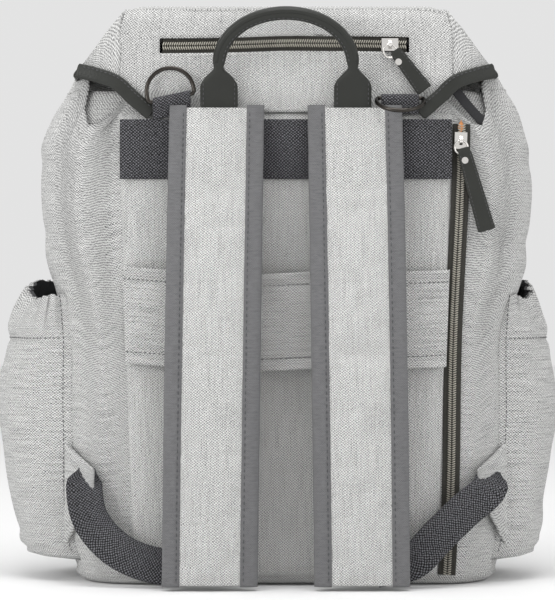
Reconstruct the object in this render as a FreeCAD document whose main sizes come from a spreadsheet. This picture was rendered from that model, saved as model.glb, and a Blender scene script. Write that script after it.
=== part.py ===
"""Diaper backpack: a soft rucksack with a hooded lid, padded straps, side bottle pockets and a trolley sleeve.

Millimetres, +Z up. The wearer's side, with the straps, faces -Y, and the front pocket faces +Y. The origin lies
on the ground under the middle of the bag. Each sub-part is one labelled object, written to parts/LABEL.step.
"""

import FreeCAD, Part
import Sketcher
import math
import os
import re

Vector = FreeCAD.Vector
X_AXIS = Vector(1, 0, 0)
Y_AXIS = Vector(0, 1, 0)
Z_AXIS = Vector(0, 0, 1)

SIZES = {
    # the tub of the bag
    "rear": -68.9,
    "body_depth": 150,
    "corner_round": 45,
    "wall": 2,
    "lining_wall": 0.8,
    "facing_wall": 1.2,
    "base_thick": 2.5,
    "board_thick": 3,
    "foot_width": 306,
    "belly_width": 326,
    "flare_width": 354,
    "chest_width": 360,
    "neck_width": 344,
    "mouth_width": 306,
    "belly_low": 28,
    "belly_high": 215,
    "flare_height": 262,
    "chest_height": 290,
    "neck_height": 330,
    "mouth_height": 362,
    "eyelet_height": 350,
    "eyelet_bore": 3.6,
    "eyelet_barrel": 4.6,
    "eyelet_flange": 6.5,
    "flange_thick": 0.8,
    "eyelet_near": 28,
    "eyelet_far": 84,
    # the padded back, the anchor band and the trolley sleeve
    "pad_thick": 6,
    "pad_top_width": 240,
    "pad_foot_width": 220,
    "pad_foot": 8,
    "pad_top": 341,
    "foam_margin": 12,
    "foam_thick": 4.5,
    "band_thick": 2,
    "band_low": 293,
    "band_height": 43,
    "sleeve_low": 159,
    "sleeve_height": 70,
    "sleeve_width": 226,
    "sleeve_gap": 7.5,
    "sleeve_thick": 1.6,
    # shoulder straps, whose side view is two long arcs
    "strap_width": 67,
    "strap_apart": 49.5,
    "strap_top": 343.5,
    "strap_length": 340,
    "strap_lean": 0.8,
    "strap_root": 12.8,
    "strap_root_thick": 3.6,
    "strap_belly_drop": 185,
    "strap_belly_rear": 32,
    "strap_belly_front": 45,
    "strap_foot_rear": 28,
    "strap_foot_front": 39,
    "cover_wall": 1.2,
    "binding_width": 12,
    "binding_thick": 1,
    "adjuster_width": 34,
    "adjuster_length": 24,
    "adjuster_thick": 3,
    "adjuster_rim": 5.5,
    "adjuster_gap": 1.3,
    "adjuster_low": 14,
    "webbing_width": 26,
    "webbing_thick": 1.8,
    "webbing_high_x": 141,
    "webbing_high_out": 9.5,
    "webbing_high_z": 62,
    "webbing_low_x": 76,
    "webbing_low_out": 21.5,
    "webbing_low_z": 22,
    # side wings, and the webbing from each wing to its strap's adjuster
    "wing_low": 26,
    "wing_high": 101,
    "wing_point": 74,
    "wing_reach": 33.5,
    "wing_thick": 2.4,
    "wing_seam_x": 160.4,
    "wing_seam_y": 23,
    "wing_turn": 52.3,
    # side pockets: D-shaped cups on the side walls
    "pocket_wall": 1.6,
    "pocket_half": 50,
    "pocket_root": 150,
    "pocket_foot": 28,
    "pocket_foot_reach": 187,
    "pocket_low": 56,
    "pocket_low_reach": 199,
    "pocket_belly": 124,
    "pocket_belly_reach": 207,
    "pocket_neck": 184,
    "pocket_neck_reach": 202,
    "pocket_rim": 216,
    "pocket_rim_reach": 187,
    "elastic_low": 200,
    "elastic_high": 212,
    # front pocket
    "front_width": 232,
    "front_height": 186,
    "front_foot": 22,
    "front_depth": 30,
    "front_round": 28,
    # lid
    "panel_rear": 2.6,
    "panel_thick": 2.4,
    "lid_seam": 342.5,
    "lid_seam_half": 98,
    "lid_corner": 358,
    "lid_corner_half": 120,
    "lid_joint": 413.5,
    "hood_thick": 3,
    "hood_top": 417,
    "hood_half": 118,
    "hood_wing": 374,
    "hood_wing_half": 156,
    "hood_start": 3,
    "hood_gap": 2,
    "drop_low": 290,
    "drop_half": 150,
    "drop_round": 40,
    "edge_width": 10,
    "edge_thick": 0.8,
    "closer_top": 330,
    "closer_width": 34,
    "closer_length": 96,
    "closer_thick": 2.2,
    "closer_gap": 0.3,
    "snap_height": 250,
    "snap_round": 7,
    "snap_play": 0.4,
    "socket_thick": 1.4,
    # carry handle, drawn upright and then leaned out
    "handle_pivot": 350,
    "handle_apart": 48,
    "handle_out": 10,
    "handle_lean": 20,
    "tab_width": 27,
    "tab_neck": 10,
    "tab_thick": 2.5,
    "tab_start": 0.9,
    "tab_shoulder": 14,
    "tab_height": 27,
    "grip_start": 24,
    "grip_rise": 65,
    "grip_round": 5,
    "core_round": 3,
    "core_trim": 5,
    "anchor_low": 329,
    "anchor_gap": 0.6,
    # D-rings and their loops
    "ring_apart": 82,
    "ring_height": 351,
    "ring_half": 17,
    "ring_leg": 5,
    "ring_corner": 3,
    "ring_wire": 1.5,
    "ring_tilt": 12,
    "ring_back_lean": 6,
    "ring_fallen": 118,
    "loop_width": 27,
    "loop_play": 0.35,
    "loop_wall": 1.25,
    "loop_low": 338,
    # zips, all of one gauge: depths are measured outwards from the face of the tape
    "tape_width": 12,
    "tape_thick": 0.9,
    "coil_width": 6,
    "coil_thick": 1.3,
    "slot_width": 11,
    "slot_margin": 5,
    "slider_length": 12,
    "slider_width": 9,
    "slider_play": 0.3,
    "slider_roof": 1.7,
    "slider_top": 3,
    "eye_height": 4.6,
    "eye_bore": 1.4,
    "eye_round": 2.2,
    "eye_width": 2.2,
    "pull_ring": 4.8,
    "pull_wire": 0.7,
    "pull_width": 10,
    "pull_end": 12.5,
    "pull_slant": 3,
    "pull_thick": 2,
    "pull_start": 3.2,
    "rivet_shank": 1.3,
    "rivet_head": 2.4,
    "rivet_proud": 0.5,
    "rivet_drop": 10,
    "back_zip_middle": 170,
    "back_zip_length": 326,
    "back_zip_x": 121.4,
    "back_zip_lean": 1.83,
    "back_slider_along": 151,
    "back_pull_length": 61,
    "back_pull_swing": 16,
    "lid_zip_height": 390,
    "lid_zip_length": 170,
    "lid_zip_x": -1,
    "lid_slider_along": 76,
    "lid_pull_length": 35,
    "lid_pull_swing": 37,
    "front_zip_height": 176,
    "front_zip_length": 176,
    "front_slider_along": 76,
    "front_pull_length": 35,
    "front_pull_swing": 0,
}

doc = FreeCAD.newDocument("diaper_backpack")
sheet = doc.addObject("Spreadsheet::Sheet", "Sizes")
for row, (alias, number) in enumerate(SIZES.items(), 1):
    sheet.set(f"A{row}", alias)
    sheet.set(f"B{row}", str(number))
    sheet.setAlias(f"B{row}", alias)
doc.recompute()

sub_parts = []


def bound(expression):
    """The expression with the sheet's name before each alias in it."""
    return re.sub(r"[a-z]\w*", lambda m: "Sizes." + m[0] if m[0] in SIZES else m[0], expression)


def size(expression):
    """The number that an expression of the sheet's cells comes to."""
    return float(sheet.evalExpression(bound(expression)))


def place(thing, at, turn=None):
    """Binds the object's position to the sheet, and turns it by a fixed rotation."""
    if turn is not None:
        thing.Placement.Rotation = turn
    for axis, expression in zip("xyz", at):
        thing.setExpression(f"Placement.Base.{axis}", bound(expression))
    return thing


def sub_part(thing, label):
    """Marks an object as one of the bag's sub-parts, to be written under its label."""
    thing.Label = label
    sub_parts.append(thing)
    return thing


# ---- PartDesign helpers --------------------------------------------------------------------------


def new_body(name, at=("0", "0", "0"), turn=None):
    return place(doc.addObject("PartDesign::Body", name), at, turn)


def origin_plane(body, role):
    return next(feature for feature in body.Origin.OriginFeatures if feature.Role == role)


def sketch_on(body, role, lift="0"):
    """A sketch on one of the body's own origin planes, lifted along the plane's normal."""
    sketch = body.newObject("Sketcher::SketchObject", body.Name + "_sketch")
    sketch.AttachmentSupport = [(origin_plane(body, role), "")]
    sketch.MapMode = "FlatFace"
    sketch.setExpression("AttachmentOffset.Base.z", bound(lift))
    return sketch


def pin_point(sketch, geometry, end, point):
    """Fixes one end of a sketch's edge at a point given by two expressions."""
    for kind, expression in zip(("DistanceX", "DistanceY"), point):
        rule = Sketcher.Constraint(kind, -1, 1, geometry, end, size(expression))
        sketch.setExpression(f"Constraints[{sketch.addConstraint(rule)}]", bound(expression))


def arc_through(start, middle, end):
    """The anticlockwise arc through three points, and whether it runs from the first point to the last."""
    found = Part.Circle(start, middle, end)
    centre, radius = found.Center, found.Radius
    angles = [math.atan2(p.y - centre.y, p.x - centre.x) for p in (start, middle, end)]
    full = 2 * math.pi
    forward = (angles[1] - angles[0]) % full < (angles[2] - angles[0]) % full
    first, last = (angles[0], angles[2]) if forward else (angles[2], angles[0])
    if last < first:
        last += full
    return Part.ArcOfCircle(Part.Circle(centre, Z_AXIS, radius), first, last), forward


def outline(sketch, points):
    """Joins points by lines. A point with four expressions starts an arc through its second pair."""
    spots = [Vector(size(p[0]), size(p[1]), 0) for p in points]
    for i, (point, start) in enumerate(zip(points, spots)):
        following = (i + 1) % len(points)
        end = spots[following]
        if len(point) == 4:
            middle = Vector(size(point[2]), size(point[3]), 0)
            arc, forward = arc_through(start, middle, end)
            edge = sketch.addGeometry(arc)
            ends = (1, 2) if forward else (2, 1)
            guide = sketch.addGeometry(Part.Point(middle), True)
            pin_point(sketch, guide, 1, point[2:])
            sketch.addConstraint(Sketcher.Constraint("PointOnObject", guide, 1, edge))
        else:
            edge = sketch.addGeometry(Part.LineSegment(start, end))
            ends = (1, 2)
        pin_point(sketch, edge, ends[0], point[:2])
        pin_point(sketch, edge, ends[1], points[following][:2])
    return sketch


def circle(sketch, across, up, radius):
    """A circle with its centre and radius bound to the sheet."""
    spot = Vector(size(across), size(up), 0)
    edge = sketch.addGeometry(Part.Circle(spot, Z_AXIS, size(radius)))
    pin_point(sketch, edge, 3, (across, up))
    rule = sketch.addConstraint(Sketcher.Constraint("Radius", edge, size(radius)))
    sketch.setExpression(f"Constraints[{rule}]", bound(radius))
    return sketch


def rounded_rectangle(width, height, radius, middle=("0", "0")):
    """The outline points of a rectangle with four round corners."""
    points = []
    diagonal = "0.70710678"
    for across, up, first in ((1, -1, "x"), (1, 1, "y"), (-1, 1, "x"), (-1, -1, "y")):
        core = (
            f"{middle[0]}+({across})*(({width})/2-({radius}))",
            f"{middle[1]}+({up})*(({height})/2-({radius}))",
        )
        side = (f"{core[0]}+({across})*({radius})", core[1])
        flat = (core[0], f"{core[1]}+({up})*({radius})")
        via = (
            f"{core[0]}+({across})*({radius})*{diagonal}",
            f"{core[1]}+({up})*({radius})*{diagonal}",
        )
        start, end = (flat, side) if first == "x" else (side, flat)
        points += [(*start, *via), end]
    return points


def pad(body, sketch, length, both_ways=False, reverse=False):
    feature = body.newObject("PartDesign::Pad", body.Name + "_pad")
    feature.Profile = sketch
    feature.setExpression("Length", bound(length))
    feature.Midplane = both_ways
    feature.Reversed = reverse
    return feature


def cut_through(body, sketch):
    """Cuts the sketch's outline through everything, both ways, and makes sure that it cut."""
    doc.recompute()
    before = body.Shape.Volume
    feature = body.newObject("PartDesign::Pocket", body.Name + "_hole")
    feature.Profile = sketch
    feature.Type = "ThroughAll"
    feature.Midplane = True
    doc.recompute()
    if body.Shape.Volume >= before:
        raise RuntimeError(f"the cut in {body.Name} removed nothing")
    return feature


def loft(body, sketches, hollow=False):
    """A ruled loft through the sketches, which is cut out of the body if it is hollow."""
    kind = "PartDesign::SubtractiveLoft" if hollow else "PartDesign::AdditiveLoft"
    feature = body.newObject(kind, body.Name + "_loft")
    feature.Profile = sketches[0]
    feature.Sections = sketches[1:]
    feature.Ruled = True
    return feature


def pipe(body, profile, spine):
    feature = body.newObject("PartDesign::AdditivePipe", body.Name + "_pipe")
    feature.Profile = profile
    feature.Spine = spine
    return feature


def plate_body(name, role, points, thickness, at=("0", "0", "0"), turn=None, reverse=False, both_ways=False):
    """A body with one pad: an outline on an origin plane, padded to its thickness."""
    body = new_body(name, at, turn)
    pad(body, outline(sketch_on(body, role), points), thickness, both_ways, reverse)
    return body


def plate(label, role, points, thickness, at=("0", "0", "0"), turn=None, reverse=False, both_ways=False):
    """A sub-part with one pad."""
    return sub_part(plate_body(label, role, points, thickness, at, turn, reverse, both_ways), label)


def rectangle(left, right, low, high):
    return [(left, low), (right, low), (right, high), (left, high)]


# ---- the tub: outer shell, lining, base ----------------------------------------------------------

REAR = "rear"
FRONT = "rear+body_depth"
MIDDLE = "rear+body_depth/2"


def ring_section(body, height, width, inset):
    """One level section of the tub, at a height, drawn in from the outer face by inset."""
    points = rounded_rectangle(
        f"{width}-2*({inset})", f"body_depth-2*({inset})", f"corner_round-({inset})", ("0", MIDDLE)
    )
    return outline(sketch_on(body, "XY_Plane", height), points)


def tub(label, stations, outer_inset, inner_inset, floor="0"):
    """A tube with the tub's shape between two insets, through (height, width) stations, with a floor."""
    body = new_body(label)
    loft(body, [ring_section(body, height, width, outer_inset) for height, width in stations])
    first, *rest = stations
    hollow = [(f"{first[0]}+{floor}", first[1]), *rest]
    loft(body, [ring_section(body, height, width, inner_inset) for height, width in hollow], hollow=True)
    return body


def holes_for_eyelets(body):
    sketch = sketch_on(body, "XZ_Plane")
    for side in ("-", ""):
        for across in ("eyelet_near", "eyelet_far"):
            circle(sketch, side + across, "eyelet_height", "eyelet_barrel")
    return cut_through(body, sketch)


LINING_FOOT = "base_thick+board_thick"
LINING_FOOT_WIDTH = "foot_width+(belly_width-foot_width)*board_thick/(belly_low-base_thick)"
UPPER_STATIONS = [
    ("belly_low", "belly_width"),
    ("belly_high", "belly_width"),
    ("flare_height", "flare_width"),
    ("chest_height", "chest_width"),
    ("neck_height", "neck_width"),
]


def make_tub():
    base = rounded_rectangle("foot_width", "body_depth", "corner_round", ("0", MIDDLE))
    plate("bottom_panel", "XY_Plane", base, "base_thick")
    board = rounded_rectangle(
        "foot_width-2*wall", "body_depth-2*wall", "corner_round-wall", ("0", MIDDLE)
    )
    plate("base_board", "XY_Plane", board, "board_thick", at=("0", "0", "base_thick"))

    mouth = [("mouth_height", "mouth_width")]
    shell = tub("main_shell", [("base_thick", "foot_width"), *UPPER_STATIONS, *mouth], "0", "wall")
    holes_for_eyelets(shell)
    sub_part(shell, "main_shell")

    lining = tub(
        "main_lining",
        [(LINING_FOOT, LINING_FOOT_WIDTH), *UPPER_STATIONS],
        "wall",
        "wall+lining_wall",
        floor="lining_wall",
    )
    sub_part(lining, "main_lining")

    facing = tub("mouth_facing", [UPPER_STATIONS[-1], *mouth], "wall", "wall+facing_wall")
    holes_for_eyelets(facing)
    sub_part(facing, "mouth_facing")


def cylinder(name, radius, height, at, turn=None):
    thing = doc.addObject("Part::Cylinder", name)
    thing.setExpression("Radius", bound(radius))
    thing.setExpression("Height", bound(height))
    return place(thing, at, turn)


def fused(name, shapes):
    thing = doc.addObject("Part::MultiFuse", name)
    thing.Shapes = shapes
    return thing


def cut(name, base, tool):
    thing = doc.addObject("Part::Cut", name)
    thing.Base = base
    thing.Tool = tool
    return thing


def group(label, members):
    """Several separate solids that share one node."""
    thing = doc.addObject("Part::Compound", label)
    thing.Links = members
    return sub_part(thing, label)


OUT_FRONT = FreeCAD.Rotation(X_AXIS, -90)
OUT_REAR = FreeCAD.Rotation(X_AXIS, 90)


def make_eyelets():
    """Eight turned eyelets, four in the front wall and four in the rear wall, for a cord round the mouth."""
    members = []
    walls = "wall+facing_wall"
    for wall, turn, outer, sign in (("front", OUT_FRONT, FRONT, "1"), ("rear", OUT_REAR, REAR, "-1")):
        for number, across in enumerate(("-eyelet_far", "-eyelet_near", "eyelet_near", "eyelet_far")):
            name = f"eyelet_{wall}_{number}"
            inner = (across, f"{outer}-({sign})*({walls})", "eyelet_height")
            deep = (across, f"{outer}-({sign})*({walls}+flange_thick)", "eyelet_height")
            solids = [
                cylinder(name + "_barrel", "eyelet_barrel", walls, inner, turn),
                cylinder(name + "_outer", "eyelet_flange", "flange_thick", (across, outer, "eyelet_height"), turn),
                cylinder(name + "_inner", "eyelet_flange", "flange_thick", deep, turn),
            ]
            bore = cylinder(name + "_bore", "eyelet_bore", f"{walls}+2*flange_thick", deep, turn)
            members.append(cut(name, fused(name + "_metal", solids), bore))
    group("eyelets", members)


# ---- the padded back -----------------------------------------------------------------------------


def pad_outline(margin):
    """The back pad's outline, wider at the top than at the foot, drawn in by a margin."""
    return [
        (f"-pad_foot_width/2+{margin}", f"pad_foot+{margin}"),
        (f"pad_foot_width/2-{margin}", f"pad_foot+{margin}"),
        (f"pad_top_width/2-{margin}", f"pad_top-{margin}"),
        (f"-pad_top_width/2+{margin}", f"pad_top-{margin}"),
    ]


def make_back():
    cover = plate_body("back_cover", "XZ_Plane", pad_outline("0"), "pad_thick", at=("0", REAR, "0"))
    room = plate_body("foam_room", "XZ_Plane", pad_outline("foam_margin"), "foam_thick", at=("0", REAR, "0"))
    sub_part(cut("back_panel", cover, room), "back_panel")
    plate("back_foam", "XZ_Plane", pad_outline("foam_margin"), "foam_thick", at=("0", REAR, "0"))

    band = rectangle("-pad_top_width/2", "pad_top_width/2", "band_low", "band_low+band_height")
    plate("anchor_band", "XZ_Plane", band, "band_thick", at=("0", "rear-pad_thick", "0"))

    half = "sleeve_width/2"
    sleeve = [
        ("-" + half, "0", "0", "-sleeve_gap"),
        (half, "0"),
        (half, "-sleeve_thick", "0", "-sleeve_gap-sleeve_thick"),
        ("-" + half, "-sleeve_thick"),
    ]
    plate("trolley_sleeve", "XY_Plane", sleeve, "sleeve_height", at=("0", "rear-pad_thick", "sleeve_low"))


# ---- shoulder straps -----------------------------------------------------------------------------


def strap_profile(inset, top):
    """A strap's side outline, from its own top edge down: both faces are arcs, drawn in by inset."""
    foot = f"-strap_length+({inset})"
    belly = "-strap_belly_drop"
    return [
        (f"-strap_root-({inset})", top, f"-strap_belly_rear-({inset})", belly),
        (f"-strap_foot_rear-({inset})", foot),
        (f"-strap_foot_front+({inset})", foot, f"-strap_belly_front+({inset})", belly),
        (f"-strap_root-strap_root_thick+({inset})", top),
    ]


def make_strap(side, sign, handed):
    """One padded strap, hanging from its top edge: foam, cover, bound edges and the adjuster at its foot."""
    at = (f"{sign}strap_apart", REAR, "strap_top")
    lean = FreeCAD.Rotation(Y_AXIS, -handed * size("strap_lean"))

    def layer(name, inset, width, top="0"):
        return plate_body(name + side, "YZ_Plane", strap_profile(inset, top), width, at, lean, both_ways=True)

    cover_width = "strap_width-2*binding_thick"
    foam_width = f"{cover_width}-2*cover_wall"
    sub_part(layer("strap_foam_", "cover_wall", foam_width, "-cover_wall"), f"strap_foam_{side}")
    core = layer("strap_core_", "cover_wall", foam_width, "-cover_wall")
    cover = cut(f"shoulder_strap_{side}", layer("strap_cover_", "0", cover_width), core)
    sub_part(cover, f"shoulder_strap_{side}")

    wrap = layer("strap_wrap_", "-binding_thick", "strap_width")
    middle = layer("strap_middle_", "-3*binding_thick", "strap_width-2*binding_width")
    edges = cut(f"strap_edges_{side}", wrap, middle)
    body = layer("strap_body_", "0", cover_width)
    sub_part(cut(f"strap_binding_{side}", edges, body), f"strap_binding_{side}")

    foot_x = f"{sign}(strap_apart+(strap_length-adjuster_low)*tan(strap_lean))"
    foot_y = "rear-strap_foot_rear+adjuster_thick+adjuster_gap"
    sub_part(adjuster_frame(f"strap_adjuster_{side}", (foot_x, foot_y, "0")), f"strap_adjuster_{side}")


def adjuster_frame(name, at):
    """A three-bar adjuster: a plate with two slots across it for the webbing."""
    half = "adjuster_width/2"
    top = "adjuster_low+adjuster_length"
    body = plate_body(name, "XZ_Plane", rectangle("-" + half, half, "adjuster_low", top), "adjuster_thick", at)
    slot_half = f"{half}-adjuster_rim"
    middle = "adjuster_low+adjuster_length/2"
    sketch = sketch_on(body, "XZ_Plane")
    for low, high in (("adjuster_low+adjuster_rim", f"{middle}-adjuster_rim/2"),
                      (f"{middle}+adjuster_rim/2", f"{top}-adjuster_rim")):
        outline(sketch, rectangle("-" + slot_half, slot_half, low, high))
    cut_through(body, sketch)
    return body


def make_wing(side, sign, handed):
    """The triangular wing at the foot of a side seam, and the webbing that runs from it behind the strap."""
    at = (f"{sign}wing_seam_x", "rear+wing_seam_y", "0")
    turn = FreeCAD.Rotation(Z_AXIS, -90 + handed * (size("wing_turn") - 90))
    wing = [("0", "wing_low"), ("wing_reach", "wing_point"), ("0", "wing_high")]
    sub_part(plate_body(f"side_wing_{side}", "XZ_Plane", wing, "wing_thick", at, turn, both_ways=True),
             f"side_wing_{side}")

    make_webbing(side, sign, handed)


def make_webbing(side, sign, handed):
    """A straight strip from the wing's point to the outer edge of the adjuster, flat against the bag's back."""
    low = [f"{sign}webbing_low_x", "rear-webbing_low_out", "webbing_low_z"]
    high = [f"{sign}webbing_high_x", "rear-webbing_high_out", "webbing_high_z"]
    if handed < 0:
        low, high = high, low
    along = Vector(*[size(end) - size(start) for start, end in zip(low, high)]).normalize()
    across = (Z_AXIS - along * along.z).normalize()
    strip = doc.addObject("Part::Box", f"lower_webbing_{side}")
    squares = "+".join(f"({end}-({start}))^2" for start, end in zip(low, high))
    strip.setExpression("Length", bound(f"sqrt({squares})"))
    strip.setExpression("Width", bound("webbing_thick"))
    strip.setExpression("Height", bound("webbing_width"))
    sub_part(place(strip, low, FreeCAD.Rotation(along, across.cross(along), across, "XZY")), strip.Name)


# ---- side pockets --------------------------------------------------------------------------------

POCKET_STATIONS = [
    (f"pocket_{name}", f"pocket_{name}_reach") for name in ("foot", "low", "belly", "neck", "rim")
]


def pocket_section(body, height, reach, inset, sign):
    """A level D: a chord inside the tub and an arc that reaches out past its side wall."""
    sketch = sketch_on(body, "XY_Plane", height)
    half = f"(pocket_half-({inset}))"
    root = f"{sign}pocket_root"
    points = [
        (root, f"{MIDDLE}-{half}", f"{sign}({reach}-({inset}))", MIDDLE),
        (root, f"{MIDDLE}+{half}"),
    ]
    return outline(sketch, points)


def cup(name, sign, stations, outer_inset, inner_inset, floor):
    """A D-shaped cup or band between two insets."""
    body = new_body(name)
    loft(body, [pocket_section(body, height, reach, outer_inset, sign) for height, reach in stations])
    (height, reach), *rest = stations
    hollow = [(f"{height}+{floor}", reach), *rest]
    inner = [pocket_section(body, height, reach, inner_inset, sign) for height, reach in hollow]
    loft(body, inner, hollow=True)
    return body


def make_pocket(side, sign):
    stations = POCKET_STATIONS
    shell = cup(f"pocket_cup_{side}", sign, stations, "0", "pocket_wall", "pocket_wall")
    sub_part(cut(f"side_pocket_{side}", shell, tub_blank(f"tub_for_pocket_{side}")), f"side_pocket_{side}")

    share = "(pocket_rim-{})/(pocket_rim-pocket_neck)"
    band = []
    for height in ("elastic_low", "elastic_high"):
        narrowing = f"(pocket_neck_reach-pocket_rim_reach)*{share.format(height)}"
        band.append((height, f"pocket_rim_reach+{narrowing}"))
    ring = cup(f"pocket_band_{side}", sign, band, "pocket_wall", "2*pocket_wall", "0")
    sub_part(cut(f"pocket_elastic_{side}", ring, tub_blank(f"tub_for_band_{side}")), f"pocket_elastic_{side}")


def tub_blank(name):
    """The tub's outer shape as one closed solid, to cut from what is sewn on it."""
    body = new_body(name)
    loft(body, [ring_section(body, height, width, "0") for height, width in UPPER_STATIONS])
    return body


# ---- zips ----------------------------------------------------------------------------------------


def zip_section(half, near, far):
    """A rectangle across the zip: near and far are depths outwards, towards the local -Y."""
    return rectangle("-" + half, half, f"-({far})", f"-({near})")


def make_zip(name, at, turn, facing, slider_at, pull_length, swing):
    """A zip that runs along its local Z and faces its local -Y, with its slider, ring, leather pull and rivet.

    turn lays the tape, coil and slider along the zip. facing turns the eye and the pull, which hang down.
    """
    length = f"{name}_zip_length"
    tape = zip_section("tape_width/2", "-tape_thick", "0")
    coil = zip_section("coil_width/2", "0", "coil_thick")
    plate(f"{name}_zip_tape", "XY_Plane", tape, length, at, turn, both_ways=True)
    plate(f"{name}_zip_coil", "XY_Plane", coil, length, at, turn, both_ways=True)

    inner = "(coil_width/2+slider_play)"
    saddle = [
        ("-slider_width/2", "-slider_play"),
        ("-slider_width/2", "-slider_top"),
        ("slider_width/2", "-slider_top"),
        ("slider_width/2", "-slider_play"),
        (inner, "-slider_play"),
        (inner, "-slider_roof"),
        ("-" + inner, "-slider_roof"),
        ("-" + inner, "-slider_play"),
    ]
    base = plate_body(f"{name}_saddle", "XY_Plane", saddle, "slider_length", slider_at, turn, both_ways=True)
    arch = [
        ("-slider_top+0.5", "-1.6*eye_round"),
        ("-slider_top+0.5", "1.6*eye_round"),
        ("-eye_height", "eye_round", "-eye_height-eye_round", "0"),
        ("-eye_height", "-eye_round"),
    ]
    eye = plate_body(f"{name}_eye", "YZ_Plane", arch, "eye_width", slider_at, facing, both_ways=True)
    cut_through(eye, circle(sketch_on(eye, "YZ_Plane"), "-eye_height", "0", "eye_bore"))
    sub_part(fused(f"{name}_zip_slider", [base, eye]), f"{name}_zip_slider")

    out = facing.multVec(Vector(0, -1, 0)).y
    centre = (slider_at[0], f"{slider_at[1]}+({out:.0f})*eye_height", f"{slider_at[2]}-pull_ring")
    sub_part(wire_ring(f"{name}_pull_ring", centre), f"{name}_pull_ring")

    hang = facing.multiply(FreeCAD.Rotation(Y_AXIS, -size(swing)))
    leather = [
        ("-pull_width/2", "-pull_start"),
        ("pull_width/2", "-pull_start"),
        ("pull_end/2", f"-{pull_length}+pull_slant"),
        ("-pull_end/2", f"-{pull_length}"),
    ]
    tab = plate_body(f"{name}_leather", "XZ_Plane", leather, "pull_thick", centre, hang, both_ways=True)
    cut_through(tab, circle(sketch_on(tab, "XZ_Plane"), "0", "-rivet_drop", "rivet_shank"))
    sub_part(cut(f"{name}_pull", tab, wire_ring(f"{name}_ring_room", centre)), f"{name}_pull")

    rivet = new_body(f"{name}_pull_rivet", centre, hang)
    half = "(pull_thick/2+rivet_proud)"
    shaft = rivet.newObject("PartDesign::AdditiveCylinder", f"{name}_shank")
    heads = [rivet.newObject("PartDesign::AdditiveCylinder", f"{name}_head_{end}") for end in ("rear", "front")]
    for piece, radius, start, height in (
        (shaft, "rivet_shank", "-" + half, f"2*{half}"),
        (heads[0], "rivet_head", "-" + half, "rivet_proud"),
        (heads[1], "rivet_head", "pull_thick/2", "rivet_proud"),
    ):
        piece.setExpression("Radius", bound(radius))
        piece.setExpression("Height", bound(height))
        piece.AttachmentSupport = [(origin_plane(rivet, "XZ_Plane"), "")]
        piece.MapMode = "FlatFace"
        piece.setExpression("AttachmentOffset.Base.y", bound("-rivet_drop"))
        piece.setExpression("AttachmentOffset.Base.z", bound(start))
    sub_part(rivet, f"{name}_pull_rivet")


def wire_ring(name, centre):
    ring = doc.addObject("Part::Torus", name)
    ring.setExpression("Radius1", bound("pull_ring"))
    ring.setExpression("Radius2", bound("pull_wire"))
    return place(ring, centre, OUT_REAR)


UPRIGHT = FreeCAD.Rotation()
LEVEL = FreeCAD.Rotation(Y_AXIS, 90)
TURNED = FreeCAD.Rotation(Z_AXIS, 180)


def make_zips():
    lean = FreeCAD.Rotation(Y_AXIS, size("back_zip_lean"))
    face = "rear-tape_thick"
    along = "back_slider_along"
    slider = (
        f"back_zip_x+{along}*sin(back_zip_lean)",
        face,
        f"back_zip_middle+{along}*cos(back_zip_lean)",
    )
    make_zip("back", ("back_zip_x", face, "back_zip_middle"), lean, UPRIGHT, slider,
             "back_pull_length", "back_pull_swing")

    face = "rear-panel_rear"
    make_zip("lid", ("lid_zip_x", face, "lid_zip_height"), LEVEL, UPRIGHT,
             ("lid_zip_x+lid_slider_along", face, "lid_zip_height"), "lid_pull_length", "lid_pull_swing")

    face = f"{FRONT}+front_depth-wall"
    make_zip("front", ("0", face, "front_zip_height"), TURNED.multiply(LEVEL), TURNED,
             ("-front_slider_along", face, "front_zip_height"), "front_pull_length", "front_pull_swing")


def make_front_pocket():
    """A shallow tray sewn to the front wall, with a slot near its top for the zip."""
    middle = "front_foot+front_height/2"
    tray = rounded_rectangle("front_width", "front_height", "front_round", ("0", middle))
    room = rounded_rectangle(
        "front_width-2*wall", "front_height-2*wall", "front_round-wall", ("0", middle)
    )
    at = ("0", FRONT, "0")
    whole = plate_body("front_tray", "XZ_Plane", tray, "front_depth", at, reverse=True)
    inside = plate_body("front_room", "XZ_Plane", room, "front_depth-wall", at, reverse=True)
    slot_half = "(front_zip_length/2+slot_margin)"
    slot_points = rectangle(
        "-" + slot_half, slot_half, "front_zip_height-slot_width/2", "front_zip_height+slot_width/2"
    )
    slot = plate_body("front_slot", "XZ_Plane", slot_points, "2*front_depth", at, reverse=True)
    sub_part(cut("front_pocket", cut("front_walls", whole, inside), slot), "front_pocket")


# ---- lid -----------------------------------------------------------------------------------------


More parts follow.
